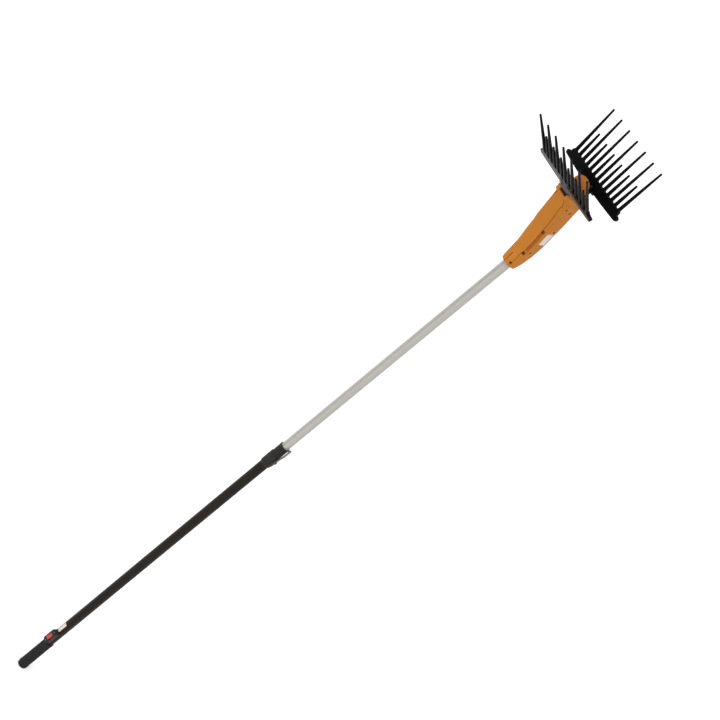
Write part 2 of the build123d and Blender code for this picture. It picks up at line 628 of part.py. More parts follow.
with BuildPart() as motor_end_bell:
    with Locations(spot(0, 0, MOTOR_H0 - 7)):
        Cylinder(MOTOR_R - 1.6, 12, align=LIFT)
        Cylinder(6.0, 30, mode=Mode.SUBTRACT)
    with Locations(spot(0, 0, MOTOR_H0 + 1)):
        Cylinder(MOTOR_R - 4, 10, align=LIFT, mode=Mode.SUBTRACT)
    for xx in (-11.0, 11.0):
        with Locations(spot(xx, 0, MOTOR_H0 - 12)):
            Box(1.0, 5.0, 5.5, align=LIFT)
motor_end_bell.part.label = "motor_end_bell"
export_step(motor_end_bell.part, "parts/motor_end_bell.step")

with BuildPart() as motor_magnets:
    with BuildSketch(HEAD.offset(MOTOR_H0 + 8)):
        Circle(MOTOR_R - 1.55)
        Circle(MOTOR_R - 3.4, mode=Mode.SUBTRACT)
        Rectangle(60, 9, mode=Mode.SUBTRACT)
    extrude(amount=44)
motor_magnets.part.label = "motor_magnets"
export_step(motor_magnets.part, "parts/motor_magnets.step")

with BuildPart() as motor_bearings:
    for hh, t in ((MOTOR_H0 - 6.5, 6.0), (MOTOR_H1 - 3.0, 3.0)):
        with BuildSketch(HEAD.offset(hh)):
            Circle(5.98)
            Circle(2.53, mode=Mode.SUBTRACT)
        extrude(amount=t)
motor_bearings.part.label = "motor_bearings"
export_step(motor_bearings.part, "parts/motor_bearings.step")

with BuildPart() as rotor_shaft:
    with Locations(spot(0, 0, MOTOR_H0 - 6.5)):
        Cylinder(2.5, MOTOR_H1 - MOTOR_H0 + 22.5, align=LIFT)
rotor_shaft.part.label = "rotor_shaft"
export_step(rotor_shaft.part, "parts/rotor_shaft.step")

# slotted armature
with BuildPart() as rotor_core:
    with BuildSketch(HEAD.offset(MOTOR_H0 + 12)):
        Circle(16.8)
        Circle(2.5, mode=Mode.SUBTRACT)
        with PolarLocations(13.5, 9):
            Rectangle(7.0, 3.4, mode=Mode.SUBTRACT)
    extrude(amount=36)
rotor_core.part.label = "rotor_core"
export_step(rotor_core.part, "parts/rotor_core.step")

with BuildPart() as sun_pinion:
    with BuildSketch(HEAD.offset(MOTOR_H1 + 4)):
        with BuildLine():
            Polyline(*gear_points(GEAR_M, SUN_Z, 0.62, 0.95, -0.12, 0), close=True)
        make_face()
        Circle(2.5, mode=Mode.SUBTRACT)
    extrude(amount=12)
sun_pinion.part.label = "sun_pinion"
export_step(sun_pinion.part, "parts/sun_pinion.step")

with BuildPart() as ring_gear:
    with BuildSketch(HEAD.offset(MOTOR_H1 + 0.05)):
        Circle(RING_R)
        with BuildLine(mode=Mode.PRIVATE) as ring_line:
            Polyline(*gear_points(GEAR_M, RING_Z, 0.95, 0.62, 0.12, 0), close=True)
        make_face(ring_line.edges(), mode=Mode.SUBTRACT)
    extrude(amount=RING_H1 - MOTOR_H1 - 0.1)
ring_gear.part.label = "ring_gear"
export_step(ring_gear.part, "parts/ring_gear.step")

with BuildPart() as gearbox_cover:
    with Locations(spot(0, 0, RING_H1)):
        Cylinder(RING_R, COVER_H1 - RING_H1, align=LIFT)
        Cylinder(17.2, 3.0, align=LIFT, mode=Mode.SUBTRACT)
        Cylinder(9.5, 40, mode=Mode.SUBTRACT)
gearbox_cover.part.label = "gearbox_cover"
export_step(gearbox_cover.part, "parts/gearbox_cover.step")

with BuildPart() as output_bearing:
    with BuildSketch(HEAD.offset(RING_H1 + 3.5)):
        Circle(9.48)
        Circle(5.03, mode=Mode.SUBTRACT)
    extrude(amount=10)
output_bearing.part.label = "output_bearing"
export_step(output_bearing.part, "parts/output_bearing.step")

planet_places = [(PLANET_OFF * cos(radians(a)), PLANET_OFF * sin(radians(a)), a) for a in (0, 120, 240)]

with BuildPart() as planet_gear_1:
    with BuildSketch(HEAD.offset(MOTOR_H1 + 4)):
        with Locations(planet_places[0][:2]):
            with BuildLine(mode=Mode.PRIVATE) as planet_line_1:
                Polyline(*gear_points(GEAR_M, PLANET_Z, 0.62, 0.95, -0.12, planet_places[0][2]), close=True)
            add(make_face(planet_line_1.edges(), mode=Mode.PRIVATE))
            Circle(1.83, mode=Mode.SUBTRACT)
    extrude(amount=12)
planet_gear_1.part.label = "planet_gear_1"
export_step(planet_gear_1.part, "parts/planet_gear_1.step")

with BuildPart() as planet_gear_2:
    with BuildSketch(HEAD.offset(MOTOR_H1 + 4)):
        with Locations(planet_places[1][:2]):
            with BuildLine(mode=Mode.PRIVATE) as planet_line_2:
                Polyline(*gear_points(GEAR_M, PLANET_Z, 0.62, 0.95, -0.12, planet_places[1][2]), close=True)
            add(make_face(planet_line_2.edges(), mode=Mode.PRIVATE))
            Circle(1.83, mode=Mode.SUBTRACT)
    extrude(amount=12)
planet_gear_2.part.label = "planet_gear_2"
export_step(planet_gear_2.part, "parts/planet_gear_2.step")

with BuildPart() as planet_gear_3:
    with BuildSketch(HEAD.offset(MOTOR_H1 + 4)):
        with Locations(planet_places[2][:2]):
            with BuildLine(mode=Mode.PRIVATE) as planet_line_3:
                Polyline(*gear_points(GEAR_M, PLANET_Z, 0.62, 0.95, -0.12, planet_places[2][2]), close=True)
            add(make_face(planet_line_3.edges(), mode=Mode.PRIVATE))
            Circle(1.83, mode=Mode.SUBTRACT)
    extrude(amount=12)
planet_gear_3.part.label = "planet_gear_3"
export_step(planet_gear_3.part, "parts/planet_gear_3.step")

with BuildPart() as planet_carrier:
    with Locations(spot(0, 0, MOTOR_H1 + 17)):
        Cylinder(16.2, 6.0, align=LIFT)
    with Locations(spot(0, 0, MOTOR_H1 + 22)):
        Cylinder(5.0, COVER_H1 - MOTOR_H1 - 22 + 11, align=LIFT)
    for x, v, a in planet_places:
        with Locations(spot(x, v, MOTOR_H1 + 20)):
            Cylinder(1.75, 20, mode=Mode.SUBTRACT)
planet_carrier.part.label = "planet_carrier"
export_step(planet_carrier.part, "parts/planet_carrier.step")

with BuildPart() as planet_pins:
    for x, v, a in planet_places:
        with Locations(spot(x, v, MOTOR_H1 + 3.4)):
            Cylinder(1.75, 18.6, align=LIFT)
planet_pins.part.label = "planet_pins"
export_step(planet_pins.part, "parts/planet_pins.step")

# crank with its counterweight; the eccentric is at its +v dead point at rest
with BuildPart() as crank_disc:
    with BuildSketch(HEAD.offset(COVER_H1 + 1)):
        Circle(CRANK_R)
        with Locations((13, CRANK_R), (-13, CRANK_R)):
            Rectangle(12, 26, mode=Mode.SUBTRACT)
        Circle(5.0, mode=Mode.SUBTRACT)
    extrude(amount=10)
    with Locations(spot(0, CRANK_E, COVER_H1 + 11)):
        Cylinder(CRANK_PIN_R, 12.2, align=LIFT)
crank_disc.part.label = "crank_disc"
export_step(crank_disc.part, "parts/crank_disc.step")

with BuildPart() as crank_bearing:
    with BuildSketch(HEAD.offset(COVER_H1 + 13)):
        with Locations((0, CRANK_E)):
            Circle(CRANK_BEARING_R)
            Circle(CRANK_PIN_R + 0.02, mode=Mode.SUBTRACT)
    extrude(amount=10)
crank_bearing.part.label = "crank_bearing"
export_step(crank_bearing.part, "parts/crank_bearing.step")

# brackets that hold the motor and the gearbox in the housing
with BuildPart() as motor_cradle:
    add(shell_fit.part)
    with BuildSketch(HEAD.offset(-232)):
        Rectangle(200, 200)
    extrude(amount=8, mode=Mode.INTERSECT)
    with Locations(spot(0, 0, -228)):
        Cylinder(MOTOR_R + 0.02, 30, mode=Mode.SUBTRACT)
motor_cradle.part.label = "motor_cradle"
export_step(motor_cradle.part, "parts/motor_cradle.step")

with BuildPart() as gearbox_bracket:
    add(shell_fit.part)
    with BuildSketch(HEAD.offset(-171)):
        Rectangle(200, 200)
    extrude(amount=8, mode=Mode.INTERSECT)
    with Locations(spot(0, 0, -167)):
        Cylinder(RING_R + 0.02, 30, mode=Mode.SUBTRACT)
gearbox_bracket.part.label = "gearbox_bracket"
export_step(gearbox_bracket.part, "parts/gearbox_bracket.step")

# --------------------------------------------------------------- rocker drive
with BuildPart() as side_plates:
    with BuildSketch(HEAD_SIDE.offset(PLATE_X0)):
        with BuildLine():
            Polyline((-31.0, -61.0), (31.0, -61.0), (32.0, -84.0), (20.0, -108.0), (-20.0, -108.0), (-32.0, -84.0), close=True)
        make_face()
        with Locations((-SHAFT_V, SHAFT_H), (SHAFT_V, SHAFT_H)):
            Circle(BUSH_R, mode=Mode.SUBTRACT)
        with Locations(*SPACERS):
            Circle(2.5, mode=Mode.SUBTRACT)
    extrude(amount=PLATE_X1 - PLATE_X0)
    mirror(about=Plane.YZ)
    for y, z in PLATE_SCREWS:
        with Locations(Location((18.0, y, z), (0, 90, 0))):
            Cylinder(1.6, 20, align=LIFT, mode=Mode.SUBTRACT)
side_plates.part.label = "side_plates"
export_step(side_plates.part, "parts/side_plates.step")

with BuildPart() as plate_spacers:
    with BuildSketch(HEAD_SIDE):
        with Locations(*SPACERS):
            Circle(3.4)
    extrude(amount=PLATE_X0 - 0.02, both=True)
    with BuildSketch(HEAD_SIDE):
        with Locations(*SPACERS):
            Circle(2.48)
    extrude(amount=PLATE_X1, both=True)
plate_spacers.part.label = "plate_spacers"
export_step(plate_spacers.part, "parts/plate_spacers.step")

with BuildPart() as rocker_bushes:
    with BuildSketch(HEAD_SIDE.offset(PLATE_X0 - 0.6)):
        with Locations((-SHAFT_V, SHAFT_H), (SHAFT_V, SHAFT_H)):
            Circle(BUSH_R - 0.02)
            Circle(BUSH_BORE_R, mode=Mode.SUBTRACT)
    extrude(amount=PLATE_X1 - PLATE_X0 + 0.6)
    mirror(about=Plane.YZ)
rocker_bushes.part.label = "rocker_bushes"
export_step(rocker_bushes.part, "parts/rocker_bushes.step")

with BuildPart() as rocker_shaft_a:
    with BuildSketch(HEAD_SIDE):
        with Locations((-SHAFT_V, SHAFT_H)):
            Circle(SHAFT_R)
    extrude(amount=PLATE_X1 - 0.2, both=True)
rocker_shaft_a.part.label = "rocker_shaft_a"
export_step(rocker_shaft_a.part, "parts/rocker_shaft_a.step")

with BuildPart() as rocker_shaft_b:
    with BuildSketch(HEAD_SIDE):
        with Locations((SHAFT_V, SHAFT_H)):
            Circle(SHAFT_R)
    extrude(amount=PLATE_X1 - 0.2, both=True)
rocker_shaft_b.part.label = "rocker_shaft_b"
export_step(rocker_shaft_b.part, "parts/rocker_shaft_b.step")


def comb_vh(side, u, w):
    """Head frame (v, h) of a point u along the tines and w outside the bar's middle plane."""
    base, lean = COMB_PLACE[side]
    s, c = sin(radians(lean)), cos(radians(lean))
    return (base[0] + side * (u * s + w * c), base[1] + u * c - w * s)


def arm_outline(side):
    """Side outline of a rocker arm, from its hub to the tongue let into the comb's outer face."""
    knee = [(-38.0, -53.0), (-32.5, -62.0)] if side < 0 else []
    return [(side * (SHAFT_V - 4.0), SHAFT_H + 9.5), comb_vh(side, -40.0, BAR_T / 2), comb_vh(side, -33.0, TONGUE_W0), comb_vh(side, TONGUE_U, TONGUE_W0),
            comb_vh(side, TONGUE_U, TONGUE_W1), comb_vh(side, -31.6, TONGUE_W1), comb_vh(side, -36.0, TONGUE_W1 + 3.2), *knee,
            (side * (SHAFT_V + 8.5), SHAFT_H - 1.0)]


def crank_outline(side):
    """Side outline of the short crank below a rocker's hub."""
    v0, v1, h1 = side * SHAFT_V, side * SHAFT_V + LINK_V, SHAFT_H - LINK_DROP
    return [(v0 - 8.0, SHAFT_H), (v0 + 8.0, SHAFT_H), (v1 + 5.0, h1), (v1 - 5.0, h1)]


with BuildPart() as rocker_arm_a:
    with BuildSketch(HEAD_SIDE):
        with BuildLine():
            Polyline(*arm_outline(-1), close=True)
        make_face()
    extrude(amount=ARM_X, both=True)
    with BuildSketch(HEAD_SIDE):
        with Locations((-SHAFT_V, SHAFT_H)):
            Circle(10.5)
    extrude(amount=HUB_X, both=True)
    with BuildSketch(HEAD_SIDE.offset(CRANK_X0)):
        with BuildLine():
            Polyline(*crank_outline(-1), close=True)
        make_face()
        with Locations((LINK_V - SHAFT_V, SHAFT_H - LINK_DROP)):
            Circle(5.5)
    extrude(amount=CRANK_X1 - CRANK_X0)
    with BuildSketch(HEAD_SIDE):
        with Locations((-SHAFT_V, SHAFT_H)):
            Circle(SHAFT_R + 0.01)
        with Locations((LINK_V - SHAFT_V, SHAFT_H - LINK_DROP)):
            Circle(LINK_PIN_R + 0.02)
    extrude(amount=40, both=True, mode=Mode.SUBTRACT)
    for xx in (-8, 8):
        with Locations(COMB_A.location * Location((xx, 0, BOLT_U), (90, 0, 0))):
            Cylinder(2.55, 60, mode=Mode.SUBTRACT)
        with Locations(COMB_A.location * Location((xx, -1 * 3.0, BOLT_U), (90, 0, 0))):
            Cylinder(4.5, 10, align=LIFT, mode=Mode.SUBTRACT)
rocker_arm_a.part.label = "rocker_arm_a"
export_step(rocker_arm_a.part, "parts/rocker_arm_a.step")

with BuildPart() as rocker_arm_b:
    with BuildSketch(HEAD_SIDE):
        with BuildLine():
            Polyline(*arm_outline(1), close=True)
        make_face()
    extrude(amount=ARM_X, both=True)
    with BuildSketch(HEAD_SIDE):
        with Locations((SHAFT_V, SHAFT_H)):
            Circle(10.5)
    extrude(amount=HUB_X, both=True)
    with BuildSketch(HEAD_SIDE.offset(CRANK_X0)):
        with BuildLine():
            Polyline(*crank_outline(1), close=True)
        make_face()
        with Locations((LINK_V + SHAFT_V, SHAFT_H - LINK_DROP)):
            Circle(5.5)
    extrude(amount=CRANK_X1 - CRANK_X0)
    with BuildSketch(HEAD_SIDE):
        with Locations((SHAFT_V, SHAFT_H)):
            Circle(SHAFT_R + 0.01)
        with Locations((LINK_V + SHAFT_V, SHAFT_H - LINK_DROP)):
            Circle(LINK_PIN_R + 0.02)
    extrude(amount=40, both=True, mode=Mode.SUBTRACT)
    for xx in (-8, 8):
        with Locations(COMB_B.location * Location((xx, 0, BOLT_U), (90, 0, 0))):
            Cylinder(2.55, 60, mode=Mode.SUBTRACT)
        with Locations(COMB_B.location * Location((xx, 1 * 3.0, BOLT_U), (-90, 0, 0))):
            Cylinder(4.5, 10, align=LIFT, mode=Mode.SUBTRACT)
rocker_arm_b.part.label = "rocker_arm_b"
export_step(rocker_arm_b.part, "parts/rocker_arm_b.step")

with BuildPart() as link_pin_a:
    with BuildSketch(HEAD_SIDE.offset(LINK_X0 - 1.0)):
        with Locations((LINK_V - SHAFT_V, SHAFT_H - LINK_DROP)):
            Circle(LINK_PIN_R)
    extrude(amount=CRANK_X1 - LINK_X0 + 1.0)
link_pin_a.part.label = "link_pin_a"
export_step(link_pin_a.part, "parts/link_pin_a.step")

with BuildPart() as link_pin_b:
    with BuildSketch(HEAD_SIDE.offset(LINK_X0 - 1.0)):
        with Locations((LINK_V + SHAFT_V, SHAFT_H - LINK_DROP)):
            Circle(LINK_PIN_R)
    extrude(amount=CRANK_X1 - LINK_X0 + 1.0)
link_pin_b.part.label = "link_pin_b"
export_step(link_pin_b.part, "parts/link_pin_b.step")

# link that joins the two rockers; its yoke is driven to and fro by the crank
with BuildPart() as drive_link:
    with BuildSketch(HEAD_SIDE.offset(LINK_X0)):
        with Locations((LINK_V, SHAFT_H - LINK_DROP)):
            SlotCenterToCenter(2 * SHAFT_V, 10.0)
    extrude(amount=LINK_X1 - LINK_X0)
    with Locations(spot(0, LINK_V, SHAFT_H - LINK_DROP - 6.8)):
        Box(36.0, 24.6, 3.6)
    with Locations(spot(0, LINK_V, SHAFT_H - LINK_DROP - 4.0)):
        Box(LINK_X1 * 2 - 0.4, 16.0, 6.0)
    for s in (-1, 1):
        with Locations(spot(0, LINK_V + s * 10.3, YOKE_H)):
            Box(36.0, 4.0, SHAFT_H - LINK_DROP - 6.0 - YOKE_H, align=LIFT)
    with BuildSketch(HEAD_SIDE):
        with Locations((LINK_V - SHAFT_V, SHAFT_H - LINK_DROP)):
            Circle(LINK_PIN_R + 0.4)
        with Locations((LINK_V + SHAFT_V, SHAFT_H - LINK_DROP)):
            Circle(LINK_PIN_R + 0.05)
    extrude(amount=40, both=True, mode=Mode.SUBTRACT)
drive_link.part.label = "drive_link"
export_step(drive_link.part, "parts/drive_link.step")

# ----------------------------------------------------------------------- combs
BAR_EDGE = 123.4


def tine_places(plane):
    """Where each tine stands: its root, fanned out a little from the middle one."""
    mid = (TINES - 1) / 2
    return [plane.location * Location(((i - mid) * PITCH, 0, 0), (0, (i - mid) * FAN, 0)) for i in range(TINES)]


with BuildPart() as tine_long:
    with BuildSketch(Plane.XZ):
        with BuildLine():
            Polyline((0, -14), (2.96, -14), (2.96, 1.3), (TINE_ROOT_R, 1.3), (TINE_MID_R, 40), (TINE_TIP_R, TINE_LONG - 1.5), (TINE_TIP_R - 0.8, TINE_LONG), (0, TINE_LONG), close=True)
        make_face()
    revolve(axis=Axis.Z)

with BuildPart() as tine_short:
    with BuildSketch(Plane.XZ):
        with BuildLine():
            Polyline((0, -14), (2.96, -14), (2.96, 1.3), (TINE_ROOT_R, 1.3), (TINE_MID_R, 30), (TINE_TIP_R, TINE_SHORT - 1.5), (TINE_TIP_R - 0.8, TINE_SHORT), (0, TINE_SHORT), close=True)
        make_face()
    revolve(axis=Axis.Z)


def bar_line():
    """Outline of a comb bar: straight root line, lugs at both ends, arched back."""
    Polyline((BAR_EDGE, 1.0), (-BAR_EDGE, 1.0))
    ThreePointArc((-BAR_EDGE, 1.0), (-124.6, -5.5), (-127.8, -10.5))
    Line((-127.8, -10.5), (-132.0, -11.5))
    ThreePointArc((-132.0, -11.5), (-138.2, -18.5), (-132.5, -26.0))
    ThreePointArc((-132.5, -26.0), (0, -31.0), (132.5, -26.0))
    ThreePointArc((132.5, -26.0), (138.2, -18.5), (132.0, -11.5))
    Line((132.0, -11.5), (127.8, -10.5))
    ThreePointArc((127.8, -10.5), (124.6, -5.5), (BAR_EDGE, 1.0))


with BuildPart() as comb_bar_a:
    with BuildSketch(BAR_A):
        with BuildLine():
            bar_line()
        make_face()
    extrude(amount=BAR_T / 2, both=True)
    with Locations(COMB_A.location * Location((0, -1 * (PAD_W - 1.5), (PAD_U0 + PAD_U1) / 2))):
        Box(2 * PAD_X, 3.0, PAD_U1 - PAD_U0)
    with Locations(*tine_places(COMB_A)):
        Cylinder(3.0, 29.0, mode=Mode.SUBTRACT)
    # seat of the arm's tongue, and its bolts
    with Locations(COMB_A.location * Location((0, -1 * (TONGUE_W0 + 6.0 - 0.02), TONGUE_U - 14 + 0.05))):
        Box(2 * ARM_X + 0.1, 12.0, 28.0, mode=Mode.SUBTRACT)
    for xx in (-8, 8):
        with Locations(COMB_A.location * Location((xx, 0, BOLT_U), (90, 0, 0))):
            Cylinder(2.5, 60, mode=Mode.SUBTRACT)
comb_bar_a.part.label = "comb_bar_a"
export_step(comb_bar_a.part, "parts/comb_bar_a.step")

with BuildPart() as comb_bar_b:
    with BuildSketch(BAR_B):
        with BuildLine():
            bar_line()
        make_face()
    extrude(amount=BAR_T / 2, both=True)
    with Locations(COMB_B.location * Location((0, 1 * (PAD_W - 1.5), (PAD_U0 + PAD_U1) / 2))):
        Box(2 * PAD_X, 3.0, PAD_U1 - PAD_U0)
    with Locations(*tine_places(COMB_B)):
        Cylinder(3.0, 29.0, mode=Mode.SUBTRACT)
    # seat of the arm's tongue, and its bolts
    with Locations(COMB_B.location * Location((0, 1 * (TONGUE_W0 + 6.0 - 0.02), TONGUE_U - 14 + 0.05))):
        Box(2 * ARM_X + 0.1, 12.0, 28.0, mode=Mode.SUBTRACT)
    for xx in (-8, 8):
        with Locations(COMB_B.location * Location((xx, 0, BOLT_U), (90, 0, 0))):
            Cylinder(2.5, 60, mode=Mode.SUBTRACT)
comb_bar_b.part.label = "comb_bar_b"
export_step(comb_bar_b.part, "parts/comb_bar_b.step")

with BuildPart() as comb_tines_a:
    with Locations(*tine_places(COMB_A)[0::2]):
        add(tine_long.part)
    with Locations(*tine_places(COMB_A)[1::2]):
        add(tine_short.part)
comb_tines_a.part.label = "comb_tines_a"
export_step(comb_tines_a.part, "parts/comb_tines_a.step")

with BuildPart() as comb_tines_b:
    with Locations(*tine_places(COMB_B)[0::2]):
        add(tine_long.part)
    with Locations(*tine_places(COMB_B)[1::2]):
        add(tine_short.part)
comb_tines_b.part.label = "comb_tines_b"
export_step(comb_tines_b.part, "parts/comb_tines_b.step")

# bolts through the arm's tongue and the bar: head sunk in the tongue, nut on the inner face
with BuildPart() as comb_bolts_a:
    for xx in (-8, 8):
        with Locations(COMB_A.location * Location((xx, BAR_T / 2 + 3.9, BOLT_U), (90, 0, 0))):
            Cylinder(2.48, BAR_T / 2 + 3.9 + 3.2, align=LIFT)
        with Locations(COMB_A.location * Location((xx, -3.02, BOLT_U), (90, 0, 0))):
            Cylinder(4.4, 2.3, align=LIFT)
        with Locations(COMB_A.location * Location((xx, BAR_T / 2 + 0.02, BOLT_U), (-90, 0, 0))):
            Cylinder(4.4, 4.0, align=LIFT)
comb_bolts_a.part.label = "comb_bolts_a"
export_step(comb_bolts_a.part, "parts/comb_bolts_a.step")

with BuildPart() as comb_bolts_b:
    for xx in (-8, 8):
        with Locations(COMB_B.location * Location((xx, -BAR_T / 2 - 3.9, BOLT_U), (-90, 0, 0))):
            Cylinder(2.48, BAR_T / 2 + 3.9 + 3.2, align=LIFT)
        with Locations(COMB_B.location * Location((xx, 3.02, BOLT_U), (-90, 0, 0))):
            Cylinder(4.4, 2.3, align=LIFT)
        with Locations(COMB_B.location * Location((xx, -BAR_T / 2 - 0.02, BOLT_U), (90, 0, 0))):
            Cylinder(4.4, 4.0, align=LIFT)
comb_bolts_b.part.label = "comb_bolts_b"
export_step(comb_bolts_b.part, "parts/comb_bolts_b.step")
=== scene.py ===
import bpy
import bmesh
import json
import math
from mathutils import Matrix, Vector


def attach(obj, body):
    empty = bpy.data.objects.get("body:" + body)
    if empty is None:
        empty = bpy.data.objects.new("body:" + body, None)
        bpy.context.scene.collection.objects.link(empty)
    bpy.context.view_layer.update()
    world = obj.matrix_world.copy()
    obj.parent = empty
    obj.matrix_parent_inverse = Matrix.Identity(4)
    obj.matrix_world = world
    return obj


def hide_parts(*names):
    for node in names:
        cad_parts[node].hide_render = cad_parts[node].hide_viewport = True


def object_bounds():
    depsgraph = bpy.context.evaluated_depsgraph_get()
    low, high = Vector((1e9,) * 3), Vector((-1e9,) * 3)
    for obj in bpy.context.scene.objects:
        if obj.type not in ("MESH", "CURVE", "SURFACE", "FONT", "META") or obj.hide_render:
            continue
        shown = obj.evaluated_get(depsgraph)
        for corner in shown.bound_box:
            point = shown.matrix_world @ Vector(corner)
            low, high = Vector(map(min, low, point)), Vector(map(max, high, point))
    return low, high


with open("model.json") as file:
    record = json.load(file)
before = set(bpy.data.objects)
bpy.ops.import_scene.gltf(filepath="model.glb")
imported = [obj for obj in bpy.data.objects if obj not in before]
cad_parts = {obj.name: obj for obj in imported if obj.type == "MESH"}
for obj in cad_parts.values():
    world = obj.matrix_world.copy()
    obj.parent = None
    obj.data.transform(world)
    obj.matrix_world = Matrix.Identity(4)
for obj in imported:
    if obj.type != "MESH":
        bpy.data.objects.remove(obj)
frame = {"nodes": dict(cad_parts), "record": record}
cad_box = [list(c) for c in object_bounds()]
NODES = frame["nodes"]
scene = bpy.context.scene
scene.view_settings.view_transform = "Standard"
scene.view_settings.look = "None"

MM = 0.001

# ------------------------------------------------------------------ camera
CAM_AT = Vector((1.7355, -3.1345, 3.1397))
CAM_RIGHT = Vector((0.4128, 0.5694, 0.7109)).normalized()
CAM_BACK = Vector((0.4624, -0.8035, 0.3751)).normalized()
CAM_UP = CAM_BACK.cross(CAM_RIGHT).normalized()
CAM_RIGHT = CAM_UP.cross(CAM_BACK).normalized()
cam_data = bpy.data.cameras.new("camera")
cam_data.lens = 62.5
cam_data.sensor_width = 36.0
cam_data.sensor_height = 36.0
cam_data.clip_end = 3000.0
cam = bpy.data.objects.new("camera", cam_data)
scene.collection.objects.link(cam)
cam.matrix_world = Matrix((
    (CAM_RIGHT.x, CAM_UP.x, CAM_BACK.x, CAM_AT.x),
    (CAM_RIGHT.y, CAM_UP.y, CAM_BACK.y, CAM_AT.y),
    (CAM_RIGHT.z, CAM_UP.z, CAM_BACK.z, CAM_AT.z),
    (0, 0, 0, 1)))
scene.camera = cam

# ------------------------------------------------------------- light, floor
# a bright room, lighter on the side of the window and overhead, darker opposite
world = bpy.data.worlds.new("studio")
scene.world = world
world.use_nodes = True
wn, wl = world.node_tree.nodes, world.node_tree.links.new
bg = wn["Background"]
LIGHT_SIDE = Vector((0.08, -0.92, 0.36)).normalized()
sky = wn.new("ShaderNodeTexCoord")
facing = wn.new("ShaderNodeVectorMath")
facing.operation = "DOT_PRODUCT"
facing.inputs[1].default_value = LIGHT_SIDE
wl(sky.outputs["Generated"], facing.inputs[0])
grade = wn.new("ShaderNodeMapRange")
grade.interpolation_type = "SMOOTHSTEP"
grade.inputs["From Min"].default_value = -0.75
grade.inputs["From Max"].default_value = 0.95
grade.inputs["To Min"].default_value = 0.22
grade.inputs["To Max"].default_value = 1.20
wl(facing.outputs["Value"], grade.inputs["Value"])
# the walls run into the floor without an edge
height = wn.new("ShaderNodeSeparateXYZ")
wl(sky.outputs["Generated"], height.inputs["Vector"])
away = wn.new("ShaderNodeMath")
away.operation = "ABSOLUTE"
wl(height.outputs["Z"], away.inputs[0])
skirt = wn.new("ShaderNodeMapRange")
skirt.interpolation_type = "SMOOTHSTEP"
skirt.inputs["From Min"].default_value = 0.12
skirt.inputs["From Max"].default_value = 0.26
skirt.inputs["To Min"].default_value = 1.04
skirt.inputs["To Max"].default_value = 0.0
wl(away.outputs[0], skirt.inputs["Value"])
brighter = wn.new("ShaderNodeMath")
brighter.operation = "MAXIMUM"
wl(grade.outputs["Result"], brighter.inputs[0])
wl(skirt.outputs["Result"], brighter.inputs[1])
wl(brighter.outputs[0], bg.inputs["Strength"])
bg.inputs["Color"].default_value = (1.0, 1.0, 1.0, 1.0)


def sun(name, direction, strength, spread, colour=(1, 1, 1)):
    """Soft light that comes from the given direction."""
    data = bpy.data.lights.new(name, "SUN")
    data.energy = strength
    data.angle = math.radians(spread)
    data.color = colour
    ob = bpy.data.objects.new(name, data)
    scene.collection.objects.link(ob)
    ob.rotation_euler = Vector(direction).to_track_quat("Z", "Y").to_euler()
    return ob


sun("key", (0.12, -0.82, 0.56), 0.75, 45)
sun("top", (0.0, 0.0, 1.0), 0.95, 120)


